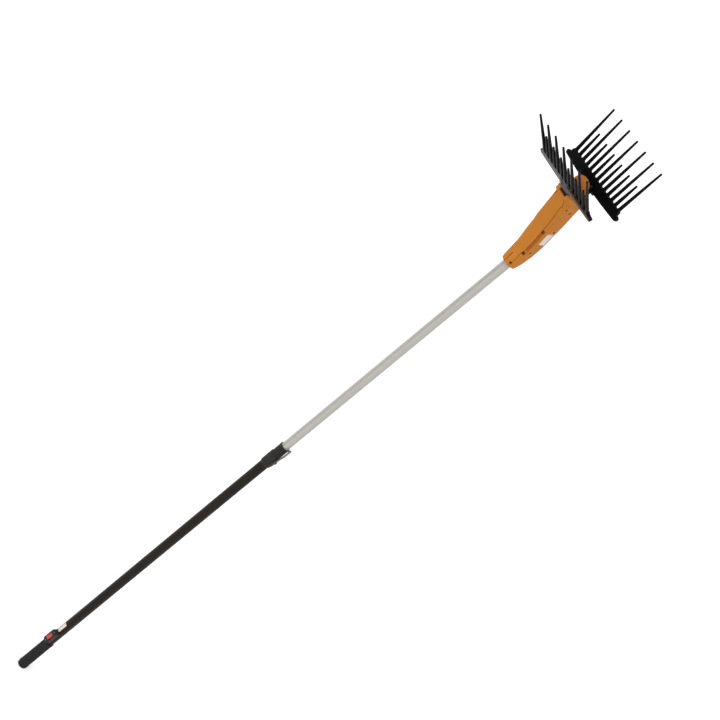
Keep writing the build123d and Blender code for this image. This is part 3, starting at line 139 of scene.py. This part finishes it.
# --------------------------------------------------------------- materials
def new_material(name, colour, rough, metal=0.0, spec=0.5, grain=(900.0, 0.08), tone=(14.0, 0.10), rough_var=0.10,
                 stretch=(1, 1, 1), edge=0.0006, wear=0.0, wear_colour=(0.5, 0.5, 0.5), coat=0.0, bump_distance=0.0004,
                 crevice=None, marks=()):
    """A moulded or drawn surface: colour drifts slowly, fine grain in the bump, roughness that varies, rounded edges.

    crevice is (reach, colour, amount): painted shade that darkens corners, grooves and recesses.  marks are (z0, z1,
    lean, q0, q1, colour):
    strips in millimetres between two heights, with q = y + lean * (z - z0).
    """
    m = bpy.data.materials.new(name)
    m.use_nodes = True
    m.diffuse_color = (*colour, 1.0)
    t = m.node_tree
    n, link = t.nodes, t.links.new
    b = n["Principled BSDF"]
    b.inputs["Metallic"].default_value = metal
    b.inputs["Specular IOR Level"].default_value = spec
    if coat:
        b.inputs["Coat Weight"].default_value = coat
        b.inputs["Coat Roughness"].default_value = 0.25
    where = n.new("ShaderNodeTexCoord")
    scale = n.new("ShaderNodeMapping")
    scale.inputs["Scale"].default_value = stretch
    link(where.outputs["Object"], scale.inputs["Vector"])
    # slow drift of the colour
    slow = n.new("ShaderNodeTexNoise")
    slow.inputs["Scale"].default_value = tone[0]
    slow.inputs["Detail"].default_value = 4.0
    link(scale.outputs["Vector"], slow.inputs["Vector"])
    ramp = n.new("ShaderNodeValToRGB")
    lo = [c * (1 - tone[1]) for c in colour]
    hi = [min(1.0, c * (1 + tone[1])) for c in colour]
    ramp.color_ramp.elements[0].position, ramp.color_ramp.elements[0].color = 0.3, (*lo, 1)
    ramp.color_ramp.elements[1].position, ramp.color_ramp.elements[1].color = 0.7, (*hi, 1)
    link(slow.outputs["Fac"], ramp.inputs["Fac"])
    colour_out = ramp.outputs["Color"]
    # fine grain
    fine = n.new("ShaderNodeTexNoise")
    fine.inputs["Scale"].default_value = grain[0]
    fine.inputs["Detail"].default_value = 3.0
    link(scale.outputs["Vector"], fine.inputs["Vector"])
    soft = n.new("ShaderNodeBevel")
    soft.samples = 4
    soft.inputs["Radius"].default_value = edge
    bump = n.new("ShaderNodeBump")
    bump.inputs["Strength"].default_value = grain[1]
    bump.inputs["Distance"].default_value = bump_distance
    link(fine.outputs["Fac"], bump.inputs["Height"])
    link(soft.outputs["Normal"], bump.inputs["Normal"])
    link(bump.outputs["Normal"], b.inputs["Normal"])
    # roughness
    span = n.new("ShaderNodeMapRange")
    span.inputs["From Min"].default_value = 0.3
    span.inputs["From Max"].default_value = 0.7
    span.inputs["To Min"].default_value = max(0.03, rough - rough_var)
    span.inputs["To Max"].default_value = min(1.0, rough + rough_var)
    mixed = n.new("ShaderNodeMath")
    mixed.operation = "MULTIPLY_ADD"
    mixed.inputs[1].default_value = 0.5
    halved = n.new("ShaderNodeMath")
    halved.operation = "MULTIPLY"
    halved.inputs[1].default_value = 0.5
    link(fine.outputs["Fac"], halved.inputs[0])
    link(slow.outputs["Fac"], mixed.inputs[0])
    link(halved.outputs[0], mixed.inputs[2])
    link(mixed.outputs[0], span.inputs["Value"])
    link(span.outputs["Result"], b.inputs["Roughness"])
    # rubbed edges
    if wear > 0:
        geo = n.new("ShaderNodeNewGeometry")
        pick = n.new("ShaderNodeMapRange")
        pick.inputs["From Min"].default_value = 0.52
        pick.inputs["From Max"].default_value = 0.62
        link(geo.outputs["Pointiness"], pick.inputs["Value"])
        patch = n.new("ShaderNodeMath")
        patch.operation = "MULTIPLY"
        link(pick.outputs["Result"], patch.inputs[0])
        link(slow.outputs["Fac"], patch.inputs[1])
        amount = n.new("ShaderNodeMath")
        amount.operation = "MULTIPLY"
        amount.inputs[1].default_value = wear
        link(patch.outputs[0], amount.inputs[0])
        mix = n.new("ShaderNodeMix")
        mix.data_type = "RGBA"
        mix.inputs["B"].default_value = (*wear_colour, 1)
        link(amount.outputs[0], mix.inputs["Factor"])
        link(colour_out, mix.inputs["A"])
        colour_out = mix.outputs["Result"]
    # painted shade: ambient occlusion darkens corners and recesses towards the given colour
    if crevice:
        reach, dark, amount = crevice
        deep = n.new("ShaderNodeAmbientOcclusion")
        deep.only_local = True
        deep.samples = 8
        deep.inputs["Distance"].default_value = reach
        shade_weight = n.new("ShaderNodeMapRange")
        shade_weight.inputs["From Min"].default_value = 0.35
        shade_weight.inputs["From Max"].default_value = 0.92
        shade_weight.inputs["To Min"].default_value = amount
        shade_weight.inputs["To Max"].default_value = 0.0
        link(deep.outputs["AO"], shade_weight.inputs["Value"])
        mix = n.new("ShaderNodeMix")
        mix.data_type = "RGBA"
        mix.inputs["B"].default_value = (*dark, 1)
        link(shade_weight.outputs["Result"], mix.inputs["Factor"])
        link(colour_out, mix.inputs["A"])
        colour_out = mix.outputs["Result"]
    if marks:
        spot = n.new("ShaderNodeSeparateXYZ")
        link(where.outputs["Object"], spot.inputs["Vector"])
        for z0, z1, lean, q0, q1, paint in marks:
            level = n.new("ShaderNodeMath")
            level.operation = "COMPARE"
            level.inputs[1].default_value = (z0 + z1) / 2 * MM
            level.inputs[2].default_value = (z1 - z0) / 2 * MM
            link(spot.outputs["Z"], level.inputs[0])
            slant = n.new("ShaderNodeMath")
            slant.operation = "MULTIPLY_ADD"
            slant.inputs[1].default_value = lean
            link(spot.outputs["Z"], slant.inputs[0])
            link(spot.outputs["Y"], slant.inputs[2])
            across = n.new("ShaderNodeMath")
            across.operation = "COMPARE"
            across.inputs[1].default_value = ((q0 + q1) / 2 + lean * z0) * MM
            across.inputs[2].default_value = (q1 - q0) / 2 * MM
            link(slant.outputs[0], across.inputs[0])
            both = n.new("ShaderNodeMath")
            both.operation = "MULTIPLY"
            link(level.outputs[0], both.inputs[0])
            link(across.outputs[0], both.inputs[1])
            mix = n.new("ShaderNodeMix")
            mix.data_type = "RGBA"
            mix.inputs["B"].default_value = (*paint, 1)
            link(both.outputs[0], mix.inputs["Factor"])
            link(colour_out, mix.inputs["A"])
            colour_out = mix.outputs["Result"]
    link(colour_out, b.inputs["Base Color"])
    return m


# The deep orange is painted shade for the shells' corners and recesses; ORANGE_RUB is the colour of their rubbed edges.
ORANGE, ORANGE_CREVICE_SHADE, ORANGE_RUB = (0.415, 0.146, 0.016), (0.16, 0.034, 0.003), (0.60, 0.30, 0.08)
# painted shade: grey line round the label's edge, where its recess shades it
LABEL_EDGE_SHADE = (0.27, 0.235, 0.21)
# The crevice entries below paint shade into corners, grooves and recesses.
MATS = {
    "tube_black": new_material("tube_black", (0.0112, 0.0078, 0.0050), 0.42, spec=0.12, grain=(700, 0.10), tone=(30, 0.25),
                               stretch=(1, 1, 0.12), rough_var=0.12),
    "tube_silver": new_material("tube_silver", (0.365, 0.356, 0.322), 0.40, metal=0.25, spec=0.35, grain=(1500, 0.05), tone=(40, 0.06),
                                stretch=(1, 1, 0.03), rough_var=0.07, crevice=(0.003, (0.10, 0.098, 0.09), 0.8)),
    "orange": new_material("orange", ORANGE, 0.50, spec=0.10, grain=(1400, 0.10), tone=(11, 0.05), edge=0.0008,
                           wear=0.30, wear_colour=ORANGE_RUB, crevice=(0.008, ORANGE_CREVICE_SHADE, 0.8)),
    # painted shade: a darker strip in the channel beside the seam, and near-black floors in the two pockets
    "orange_recess_shaded": new_material("orange_recess_shaded", ORANGE, 0.50, spec=0.10, grain=(1400, 0.10), tone=(11, 0.05), edge=0.0008,
                                  wear=0.30, wear_colour=ORANGE_RUB, crevice=(0.008, ORANGE_CREVICE_SHADE, 0.8),
                                  marks=((2317.1, 2388.9, 0.357, -29.9, -22.0, (0.30, 0.082, 0.006)),
                                         (2301.6, 2311.9, 0.0952, -28.5, -19.7, (0.10, 0.022, 0.004)),
                                         (2389.1, 2399.9, 0.3636, -55.9, -47.3, (0.10, 0.022, 0.004)))),
    # painted shade: the dome above the flange is painted a duller orange for the combs' shade, and the long reach
    # darkens it towards the flange
    "orange_dome_shaded": new_material("orange_dome_shaded", ORANGE, 0.52, spec=0.10, grain=(1400, 0.12), tone=(16, 0.07), edge=0.0008,
                                 wear=0.25, wear_colour=ORANGE_RUB, crevice=(0.030, ORANGE_CREVICE_SHADE, 0.9),
                                 marks=((2536.0, 2600.0, 0.3153, -92.5, -46.4, (0.295, 0.100, 0.013)),)),
    "black_plastic": new_material("black_plastic", (0.0135, 0.0122, 0.0110), 0.50, spec=0.16, grain=(1300, 0.14), tone=(20, 0.2),
                                  wear=0.3, wear_colour=(0.05, 0.05, 0.05)),
    "comb_black": new_material("comb_black", (0.0022, 0.0020, 0.0022), 0.30, spec=0.06, grain=(800, 0.06), tone=(25, 0.25),
                               wear=0.2, wear_colour=(0.012, 0.012, 0.013)),
    "bush_plastic": new_material("bush_plastic", (0.30, 0.30, 0.29), 0.45, grain=(1200, 0.06)),
    "grip_rubber": new_material("grip_rubber", (0.010, 0.010, 0.0105), 0.78, spec=0.22, grain=(1500, 0.45), tone=(60, 0.2),
                                bump_distance=0.0007, crevice=(0.002, (0.004, 0.004, 0.004), 0.7)),
    "switch_red": new_material("switch_red", (0.40, 0.022, 0.018), 0.28, spec=0.5, grain=(1200, 0.03), tone=(20, 0.06)),
    "label_white": new_material("label_white", (0.60, 0.50, 0.43), 0.40, spec=0.4, grain=(1600, 0.03), tone=(35, 0.05),
                                wear=0.2, wear_colour=(0.40, 0.36, 0.32)),
    # painted shade along the four edges of the label
    "label_edge_shaded": new_material("label_edge_shaded", (0.62, 0.52, 0.45), 0.40, spec=0.4, grain=(1600, 0.03), tone=(35, 0.05),
                                 wear=0.2, wear_colour=(0.40, 0.36, 0.32),
                                 marks=((2353.0, 2400.0, 0.2889, -21.2, -19.4, LABEL_EDGE_SHADE), (2358.0, 2409.0, 0.2083, 2.3, 4.2, LABEL_EDGE_SHADE),
                                        (2353.0, 2362.0, -3.846, -27.8, -21.0, LABEL_EDGE_SHADE), (2396.0, 2409.0, -2.947, -34.0, -28.6, LABEL_EDGE_SHADE))),
    "steel": new_material("steel", (0.55, 0.545, 0.53), 0.28, metal=1.0, grain=(1800, 0.05), tone=(60, 0.08), rough_var=0.08,
                          wear=0.2, wear_colour=(0.8, 0.8, 0.8)),
    "lever_steel": new_material("lever_steel", (0.052, 0.050, 0.052), 0.36, metal=0.55, spec=0.3, grain=(1800, 0.06), tone=(60, 0.12), rough_var=0.10,
                                stretch=(1, 1, 0.2), wear=0.5, wear_colour=(0.30, 0.30, 0.30), crevice=(0.003, (0.02, 0.02, 0.02), 0.7)),
    "black_steel": new_material("black_steel", (0.018, 0.0175, 0.0175), 0.46, metal=0.6, spec=0.3, grain=(1500, 0.08), tone=(50, 0.2),
                                rough_var=0.10, wear=0.3, wear_colour=(0.14, 0.14, 0.14)),
    "cast_black": new_material("cast_black", (0.0085, 0.0082, 0.0083), 0.55, metal=0.2, spec=0.18, grain=(650, 0.28), tone=(24, 0.25),
                               wear=0.35, wear_colour=(0.06, 0.06, 0.06)),
    "gear_steel": new_material("gear_steel", (0.40, 0.40, 0.40), 0.38, metal=1.0, grain=(1500, 0.08), tone=(40, 0.1)),
    "magnet": new_material("magnet", (0.06, 0.06, 0.065), 0.55, metal=0.4, grain=(1200, 0.10)),
    "cast_alloy": new_material("cast_alloy", (0.40, 0.40, 0.40), 0.48, metal=0.9, grain=(700, 0.20), tone=(30, 0.1)),
    "brass": new_material("brass", (0.66, 0.47, 0.17), 0.30, metal=1.0, grain=(1500, 0.05), tone=(50, 0.08)),
}
FINISH = {"housing_rear": "orange_recess_shaded", "nose_cover": "orange_dome_shaded", "clamp_lever": "lever_steel", "head_label": "label_edge_shaded"}
for row in frame["record"]["subparts"]:
    ob = NODES[row["node"]]
    ob.data.materials.clear()
    ob.data.materials.append(MATS[FINISH.get(row["node"], row["material_slot"])])

# ------------------------------------------------------------------- floor
fm = bpy.data.materials.new("floor")
fm.use_nodes = True
fb = fm.node_tree.nodes["Principled BSDF"]
fb.inputs["Roughness"].default_value = 0.95
fb.inputs["Specular IOR Level"].default_value = 0.0
fnoise = fm.node_tree.nodes.new("ShaderNodeTexNoise")
fnoise.inputs["Scale"].default_value = 0.6
framp = fm.node_tree.nodes.new("ShaderNodeValToRGB")
framp.color_ramp.elements[0].color = (0.955, 0.955, 0.955, 1)
framp.color_ramp.elements[1].color = (0.97, 0.97, 0.968, 1)
fm.node_tree.links.new(fnoise.outputs["Fac"], framp.inputs["Fac"])
fm.node_tree.links.new(framp.outputs["Color"], fb.inputs["Base Color"])
floor_mesh = bpy.data.meshes.new("floor")
S, FZ = 900.0, cad_box[0][2] - 0.0005
floor_mesh.from_pydata([(-S, -S, FZ), (S, -S, FZ), (S, S, FZ), (-S, S, FZ)], [], [(0, 1, 2, 3)])
floor_mesh.materials.append(fm)
floor = bpy.data.objects.new("floor", floor_mesh)
scene.collection.objects.link(floor)


# ----------------------------------------------------------------- helpers
def put(name, bm, body, slot, replaced=(), smooth=math.radians(40)):
    """A finished mesh that rides on a body and stands for the given nodes."""
    me = bpy.data.meshes.new(name)
    bmesh.ops.recalc_face_normals(bm, faces=bm.faces)
    bm.to_mesh(me)
    bm.free()
    ob = bpy.data.objects.new(name, me)
    scene.collection.objects.link(ob)
    me.materials.append(MATS[slot])
    for p in me.polygons:
        p.use_smooth = True
    me.set_sharp_from_angle(angle=smooth)
    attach(ob, body)
    if replaced:
        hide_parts(*replaced)
    return ob


def loft(bm, rings, cap=True):
    """Skin between rings of equal length."""
    rows = [[bm.verts.new(p) for p in ring] for ring in rings]
    k = len(rows[0])
    for a, b in zip(rows, rows[1:]):
        for i in range(k):
            bm.faces.new((a[i], a[(i + 1) % k], b[(i + 1) % k], b[i]))
    if cap:
        bm.faces.new(list(reversed(rows[0])))
        bm.faces.new(rows[-1])
    return rows


# ------------------------------------------------------------------- combs
TILT = math.radians(17.5)
HY, HZ = -82.9, 2578.7
ST, CT = math.sin(TILT), math.cos(TILT)
COMB_PLACE = {-1: ((-73.8, -7.2), 45.5), 1: ((46.5, 7.1), 9.86)}
TINES, PITCH, FAN = 13, 19.63, 0.47
TINE_LONG, TINE_SHORT, ROOT_R, MID_R, TIP_R = 156.6, 83.3, 5.9, 5.2, 3.3
BAR_T = 11.0


def comb_frame(side):
    (v, h), lean = COMB_PLACE[side]
    ang = TILT - side * math.radians(lean)
    o = Vector((0, HY + v * CT - h * ST, HZ + v * ST + h * CT))
    t = Vector((0, -math.sin(ang), math.cos(ang)))
    y = Vector((0, math.cos(ang), math.sin(ang)))
    return o, t, y


def outer_face(side, paint):
    """The strip of a comb and its arm's tongue that is painted paler as a painted reflection: the back half of the
    bar's outer face.
    """
    o, t, y = comb_frame(side)
    zs = [(o + t * u + y * side * w).z for u, w in ((-41.0, 9.2), (-41.0, 4.7), (-14.0, 5.5))]
    lean = -t.y / t.z
    q = sorted(o.y + lean * (o.z - min(zs)) + side * w / t.z for w in (4.7, 9.2))
    return ((min(zs), max(zs), lean, q[0], q[1], paint),)


# painted reflection: a pale strip on the outer face of each comb bar and arm tongue
COMB_PAINTED_REFLECTION = (0.088, 0.076, 0.084)
for key, side in (("a", -1), ("b", 1)):
    reflection_strip = outer_face(side, COMB_PAINTED_REFLECTION)
    MATS["comb_%s_black" % key] = new_material("comb_%s_black" % key, (0.0022, 0.0020, 0.0022), 0.30, spec=0.06, grain=(800, 0.06), tone=(25, 0.25),
                                               wear=0.2, wear_colour=(0.012, 0.012, 0.013), marks=reflection_strip)
    MATS["arm_%s_cast" % key] = new_material("arm_%s_cast" % key, (0.0085, 0.0082, 0.0083), 0.55, metal=0.2, spec=0.18, grain=(650, 0.28), tone=(24, 0.25),
                                             wear=0.35, wear_colour=(0.06, 0.06, 0.06), marks=reflection_strip)
    arm = NODES["rocker_arm_%s" % key]
    arm.data.materials.clear()
    arm.data.materials.append(MATS["arm_%s_cast" % key])


def arc3(p, q, r, n):
    """Points on the arc through p, q, r, without the last."""
    ax, ay, bx, by, cx, cy = *p, *q, *r
    d = 2 * (ax * (by - cy) + bx * (cy - ay) + cx * (ay - by))
    ux = ((ax * ax + ay * ay) * (by - cy) + (bx * bx + by * by) * (cy - ay) + (cx * cx + cy * cy) * (ay - by)) / d
    uy = ((ax * ax + ay * ay) * (cx - bx) + (bx * bx + by * by) * (ax - cx) + (cx * cx + cy * cy) * (bx - ax)) / d
    rad = math.hypot(ax - ux, ay - uy)
    a0, a1, a2 = (math.atan2(y - uy, x - ux) for x, y in (p, q, r))
    turn = (a2 - a0) % (2 * math.pi)
    if (a1 - a0) % (2 * math.pi) > turn:
        turn -= 2 * math.pi
    return [(ux + rad * math.cos(a0 + turn * k / n), uy + rad * math.sin(a0 + turn * k / n)) for k in range(n)]


def bar_outline():
    e = 123.4
    pts = [(e, 1.0), (-e, 1.0)]
    pts += arc3((-e, 1.0), (-124.6, -5.5), (-127.8, -10.5), 5)[1:] + [(-127.8, -10.5)]
    pts += arc3((-132.0, -11.5), (-138.2, -18.5), (-132.5, -26.0), 8)
    pts += arc3((-132.5, -26.0), (0, -31.0), (132.5, -26.0), 60)
    pts += arc3((132.5, -26.0), (138.2, -18.5), (132.0, -11.5), 8) + [(132.0, -11.5)]
    pts += arc3((127.8, -10.5), (124.6, -5.5), (e, 1.0), 5)
    return pts


def comb(name, side, body, nodes):
    """One moulding: a flat bar with a rim along its arched back, and tines that run out of it in round-bottomed gaps."""
    o, t, y = comb_frame(side)

    def at(x, u, w):
        return (Vector((x, 0, 0)) + t * u + y * w + o) * MM - (o * 0)

    bm = bmesh.new()
    line = bar_outline()
    half = BAR_T / 2
    loft(bm, [[at(x, u, w) for x, u in line] for w in (-half, half)])
    # rim along the back and round the lugs
    back = arc3((-133.5, -24.6), (0, -29.6), (133.5, -24.6), 48) + [(133.5, -24.6)]
    for k in range(len(back) - 1):
        (x0, u0), (x1, u1) = back[k], back[k + 1]
        loft(bm, [[at(x, u + du, w) for du, w in ((-1.3, -half - 0.9), (2.6, -half - 0.9), (3.4, -half + 1), (3.4, half - 1), (2.6, half + 0.9), (-1.3, half + 0.9))]
                  for x, u in ((x0, u0), (x1 + 0.05, u1))])
    # pads beside the arm's tongue on the outer face, with rounded corners
    for s in (-1, 1):
        pad = [(s * 11.0, -13.0), (s * 21.0, -13.0), (s * 23.8, -14.2), (s * 25.0, -17.0), (s * 25.0, -35.0), (s * 23.8, -37.8), (s * 21.0, -39.0), (s * 11.0, -39.0)]
        slim = [(x - s * 0.7 * (abs(x) > 20), u + (0.7 if u < -26 else -0.7)) for x, u in pad]
        loft(bm, [[at(x, u, side * w) for x, u in ring] for ring, w in ((pad, 4.9), (pad, 7.3), (slim, 8.0))])
    # tines
    gap_r = PITCH / 2 - ROOT_R
    for i in range(TINES):
        long = i % 2 == 0
        length, knee = (TINE_LONG, 40.0) if long else (TINE_SHORT, 30.0)
        x0 = (i - (TINES - 1) / 2) * PITCH
        f = math.radians((i - (TINES - 1) / 2) * FAN)
        stations = [-6.0] + [gap_r * q for q in (0.02, 0.1, 0.25, 0.45, 0.7, 1.0)] + [knee * 0.5, knee]
        stations += [knee + (length - 2.0 - knee) * q for q in (0.25, 0.5, 0.75, 1.0)]
        rings = []
        for u in stations:
            if u <= gap_r:
                d = max(u, 0.0)
                hw = PITCH / 2 - math.sqrt(max(0.0, gap_r ** 2 - (gap_r - d) ** 2)) if u > 0 else PITCH / 2
                hw = min(hw, PITCH / 2 - 0.01)
                ht = half - (half - ROOT_R) * min(1.0, d / gap_r)
            elif u <= knee:
                hw = ht = ROOT_R + (MID_R - ROOT_R) * (u - gap_r) / (knee - gap_r)
            else:
                hw = ht = MID_R + (TIP_R - MID_R) * (u - knee) / (length - 2.0 - knee)
            ring = []
            for k in range(20):
                a = 2 * math.pi * k / 20
                p = 2.0 if u > gap_r else 2.0 + 4.0 * (1 - max(u, 0) / gap_r)
                ca, sa = math.cos(a), math.sin(a)
                dx = hw * math.copysign(abs(ca) ** (2 / p), ca)
                dw = ht * math.copysign(abs(sa) ** (2 / p), sa)
                ring.append(at(x0 + u * math.sin(f) + dx * math.cos(f), u * math.cos(f) - dx * math.sin(f), dw))
            rings.append(ring)
        for q in (0.55, 0.88, 1.0):
            r = TIP_R * math.sqrt(max(0.02, 1 - q * q))
            u = length - 2.0 + 2.0 * q
            rings.append([at(x0 + u * math.sin(f) + r * math.cos(2 * math.pi * k / 20), u * math.cos(f), r * math.sin(2 * math.pi * k / 20)) for k in range(20)])
        loft(bm, rings)
    me = bpy.data.meshes.new(name + "_raw")
    bmesh.ops.recalc_face_normals(bm, faces=bm.faces)
    bm.to_mesh(me)
    bm.free()
    raw = bpy.data.objects.new(name + "_raw", me)
    scene.collection.objects.link(raw)
    grow = raw.modifiers.new("weld", "REMESH")
    grow.mode = "VOXEL"
    grow.voxel_size = 0.00102
    calm = raw.modifiers.new("calm", "SMOOTH")
    calm.factor = 0.5
    calm.iterations = 4
    # seat of the arm's tongue, open towards the back of the bar
    seat = bmesh.new()
    loft(seat, [[at(x, u, side * w) for x, u in ((-13.05, -15.45), (13.05, -15.45), (13.05, -43.5), (-13.05, -43.5))] for w in (0.88, 12.9)])
    bmesh.ops.recalc_face_normals(seat, faces=seat.faces)
    seat_mesh = bpy.data.meshes.new(name + "_seat")
    seat.to_mesh(seat_mesh)
    seat.free()
    cutter = bpy.data.objects.new(name + "_seat", seat_mesh)
    scene.collection.objects.link(cutter)
    cut = raw.modifiers.new("seat", "BOOLEAN")
    cut.operation = "DIFFERENCE"
    cut.solver = "EXACT"
    cut.object = cutter
    dg = bpy.context.evaluated_depsgraph_get()
    done = bpy.data.meshes.new_from_object(raw.evaluated_get(dg))
    bpy.data.objects.remove(raw)
    bpy.data.objects.remove(cutter)
    bm = bmesh.new()
    bm.from_mesh(done)
    bpy.data.meshes.remove(done)
    ob = put(name, bm, body, "comb_black", nodes, smooth=math.radians(62))
    ob.data.materials.clear()
    ob.data.materials.append(MATS[body + "_black"])
    return ob


comb("comb_a_moulding", -1, "comb_a", ("comb_bar_a", "comb_tines_a"))
comb("comb_b_moulding", 1, "comb_b", ("comb_bar_b", "comb_tines_b"))


# -------------------------------------------------------------------- grip
def grip():
    """Rubber sleeve: rolled ends, two finger rings and a raised diamond tread between them."""
    bm = bmesh.new()
    around, rows = 180, 230
    half, inner = 75.0, 17.05

    def ease(x):
        x = min(1.0, max(0.0, x))
        return x * x * (3 - 2 * x)

    def radius(z, a):
        e = half - abs(z)
        if e < 9.0:
            # rolled end
            r = 20.0 - 0.55 * ease((e - 5.0) / 3.0)
            if e < 1.6:
                r -= 1.6 - math.sqrt(max(0.0, 1.6 ** 2 - (1.6 - e) ** 2))
            return r
        if e < 15.0:
            # groove and ring behind the end
            return 18.55 + 0.75 * ease((abs(e - 10.6) - 0.9) / 0.9)
        # diamonds
        n, lead = 14, 18.0
        p = n * a / (2 * math.pi)
        u, v = p + z / lead, p - z / lead
        du, dv = abs(u - round(u)), abs(v - round(v))
        up = ease((min(du, dv) - 0.07) / 0.13)
        return 18.6 + 0.95 * up * ease((e - 15.0) / 2.0) + 0.35 * (1 - ease((e - 15.0) / 2.0))

    zs = [-half + 2 * half * k / rows for k in range(rows + 1)]
    outer = [[(radius(z, 2 * math.pi * i / around) * math.cos(2 * math.pi * i / around) * MM,
               radius(z, 2 * math.pi * i / around) * math.sin(2 * math.pi * i / around) * MM, z * MM) for i in range(around)] for z in zs]
    bore = [[(inner * math.cos(2 * math.pi * i / around) * MM, inner * math.sin(2 * math.pi * i / around) * MM, z * MM) for i in range(around)] for z in (half, -half)]
    rings = [[bm.verts.new(q) for q in ring] for ring in outer + bore]
    rings.append(rings[0])
    for lo, hi in zip(rings, rings[1:]):
        for i in range(around):
            bm.faces.new((lo[i], lo[(i + 1) % around], hi[(i + 1) % around], hi[i]))
    return put("grip_sleeve", bm, "handle", "grip_rubber", ("hand_grip",), smooth=math.radians(55))


grip()


# --------------------------------------------------------------- fasteners
def turned(bm, at, axis, profile):
    """A closed shape turned about an axis from (radius, distance) pairs.  A third number gives the corners of a ring that isn't round."""
    axis = Vector(axis).normalized()
    side = axis.orthogonal().normalized()
    over = axis.cross(side)
    n = 36
    rings = []
    for r, d, *corners in profile:
        ring = []
        for i in range(n):
            a = 2 * math.pi * i / n
            rr = r
            if corners:
                step = 2 * math.pi / corners[0]
                rr = r * math.cos(step / 2) / math.cos((a % step) - step / 2)
            ring.append((Vector(at) + side * (rr * math.cos(a)) + over * (rr * math.sin(a)) + axis * d) * MM)
        rings.append(ring)
    loft(bm, rings)


def button_screw(bm, at, axis, shank, length, head, rise):
    """Screw with a rounded head and a hexagon socket.  at is the seat under the head, axis points out of it."""
    key = head * 0.55
    turned(bm, at, axis, [(shank * 0.55, -length), (shank, -length + shank * 0.6), (shank, 0.0), (head * 0.97, 0.0), (head, rise * 0.08), (head, rise * 0.35),
                          (head * 0.95, rise * 0.62), (head * 0.84, rise * 0.85), (head * 0.70, rise), (key * 1.10, rise), (key, rise * 0.93, 6), (key, rise * 0.35, 6), (key * 0.4, rise * 0.25, 6)])


bm = bmesh.new()
for y, z, face in ((-11.0, 2319.0, 29.2), (-20.0, 2412.0, 31.9)):
    button_screw(bm, (face - 4.98, y, z), (1, 0, 0), 1.6, 3.0, 2.9, 1.8)
for y, z in ((-73.0, 2488.5), (-47.5, 2485.5)):
    button_screw(bm, (27.42, y, z), (1, 0, 0), 1.6, 6.0, 2.9, 1.8)
put("casing_screws", bm, "pole", "steel", ("housing_screws",), smooth=math.radians(35))

bm = bmesh.new()
turned(bm, (14.05, -20.4, 2258.0), (1, 0, 0), [(1.3, -30.05), (2.0, -29.2), (2.0, 0.0), (3.4, 0.0), (3.5, 0.15), (3.5, 2.7), (3.2, 3.2), (2.0, 3.2), (1.9, 3.05, 6), (1.9, 1.3, 6), (0.8, 1.0, 6)])
put("neck_clamp_screw", bm, "pole", "black_steel", ("neck_screw",), smooth=math.radians(35))

# painted shade: a black strip behind the seam of the shells, so the gap between them reads dark
bm = bmesh.new()
loft(bm, [[Vector((x, y + dy, z)) * MM for x, dy in ((1 - w, f), (w - 1, f), (w, f + 0.8), (w, 7.2), (w - 1, 8.0), (1 - w, 8.0), (-w, 7.2), (-w, f + 0.8))]
          for y, z, w, f in ((-26.2, 2294.0, 5.0, 0.4), (-27.2, 2300.0, 6.0, 0.2), (-30.0, 2317.0, 8.0, -0.6), (-56.5, 2391.0, 12.0, -1.4), (-83.4, 2462.0, 12.0, -1.4))])
put("seam_shade_strip", bm, "pole", "black_plastic", smooth=math.radians(40))

bm = bmesh.new()
for zz in (112.5 - 26, 112.5 + 26):
    button_screw(bm, (0, -27.5, zz), (0, -1, 0), 1.38, 11.8, 2.6, 1.9)
put("switch_cover_screws", bm, "handle", "steel", ("switch_screws",), smooth=math.radians(35))

bm = bmesh.new()
for s in (-1, 1):
    turned(bm, (0, s * 20.25, 1216.0), (0, s, 0), [(1.98, -4.55), (1.98, 0.0), (2.9, 0.0), (3.0, 0.12), (2.9, 0.4), (2.5, 0.66), (1.8, 0.83), (0.9, 0.9)])
put("collar_rivet_heads", bm, "handle", "black_steel", ("collar_rivets",), smooth=math.radians(50))

for name, side, body, node in (("comb_a_bolts", -1, "comb_a", "comb_bolts_a"), ("comb_b_bolts", 1, "comb_b", "comb_bolts_b")):
    o, t, y = comb_frame(side)
    bm = bmesh.new()
    for xx in (-8, 8):
        foot = Vector((xx, 0, 0)) + o + t * -22.0
        out = y * side
        # sunk head with its socket, shank, and the end that stands out of the nut
        turned(bm, foot + out * 3.02, out, [(1.9, -12.4), (2.48, -11.8), (2.48, 0.0), (4.3, 0.0), (4.4, 0.15), (4.4, 1.9), (4.1, 2.3), (2.9, 2.3), (2.75, 2.2, 6), (2.75, 0.9, 6), (1.2, 0.6, 6)])
        # hexagon nut on the inner face
        turned(bm, foot - out * 5.52, -out, [(2.5, 0.0), (4.05, 0.0), (4.4, 0.35, 6), (4.4, 3.3, 6), (4.0, 3.8), (2.9, 4.0), (2.5, 3.8)])
    put(name, bm, body, "black_steel", (node,), smooth=math.radians(32))

# ------------------------------------------------------------------ finish
for ob in NODES.values():
    for p in ob.data.polygons:
        p.use_smooth = True
    ob.data.set_sharp_from_angle(angle=math.radians(32))
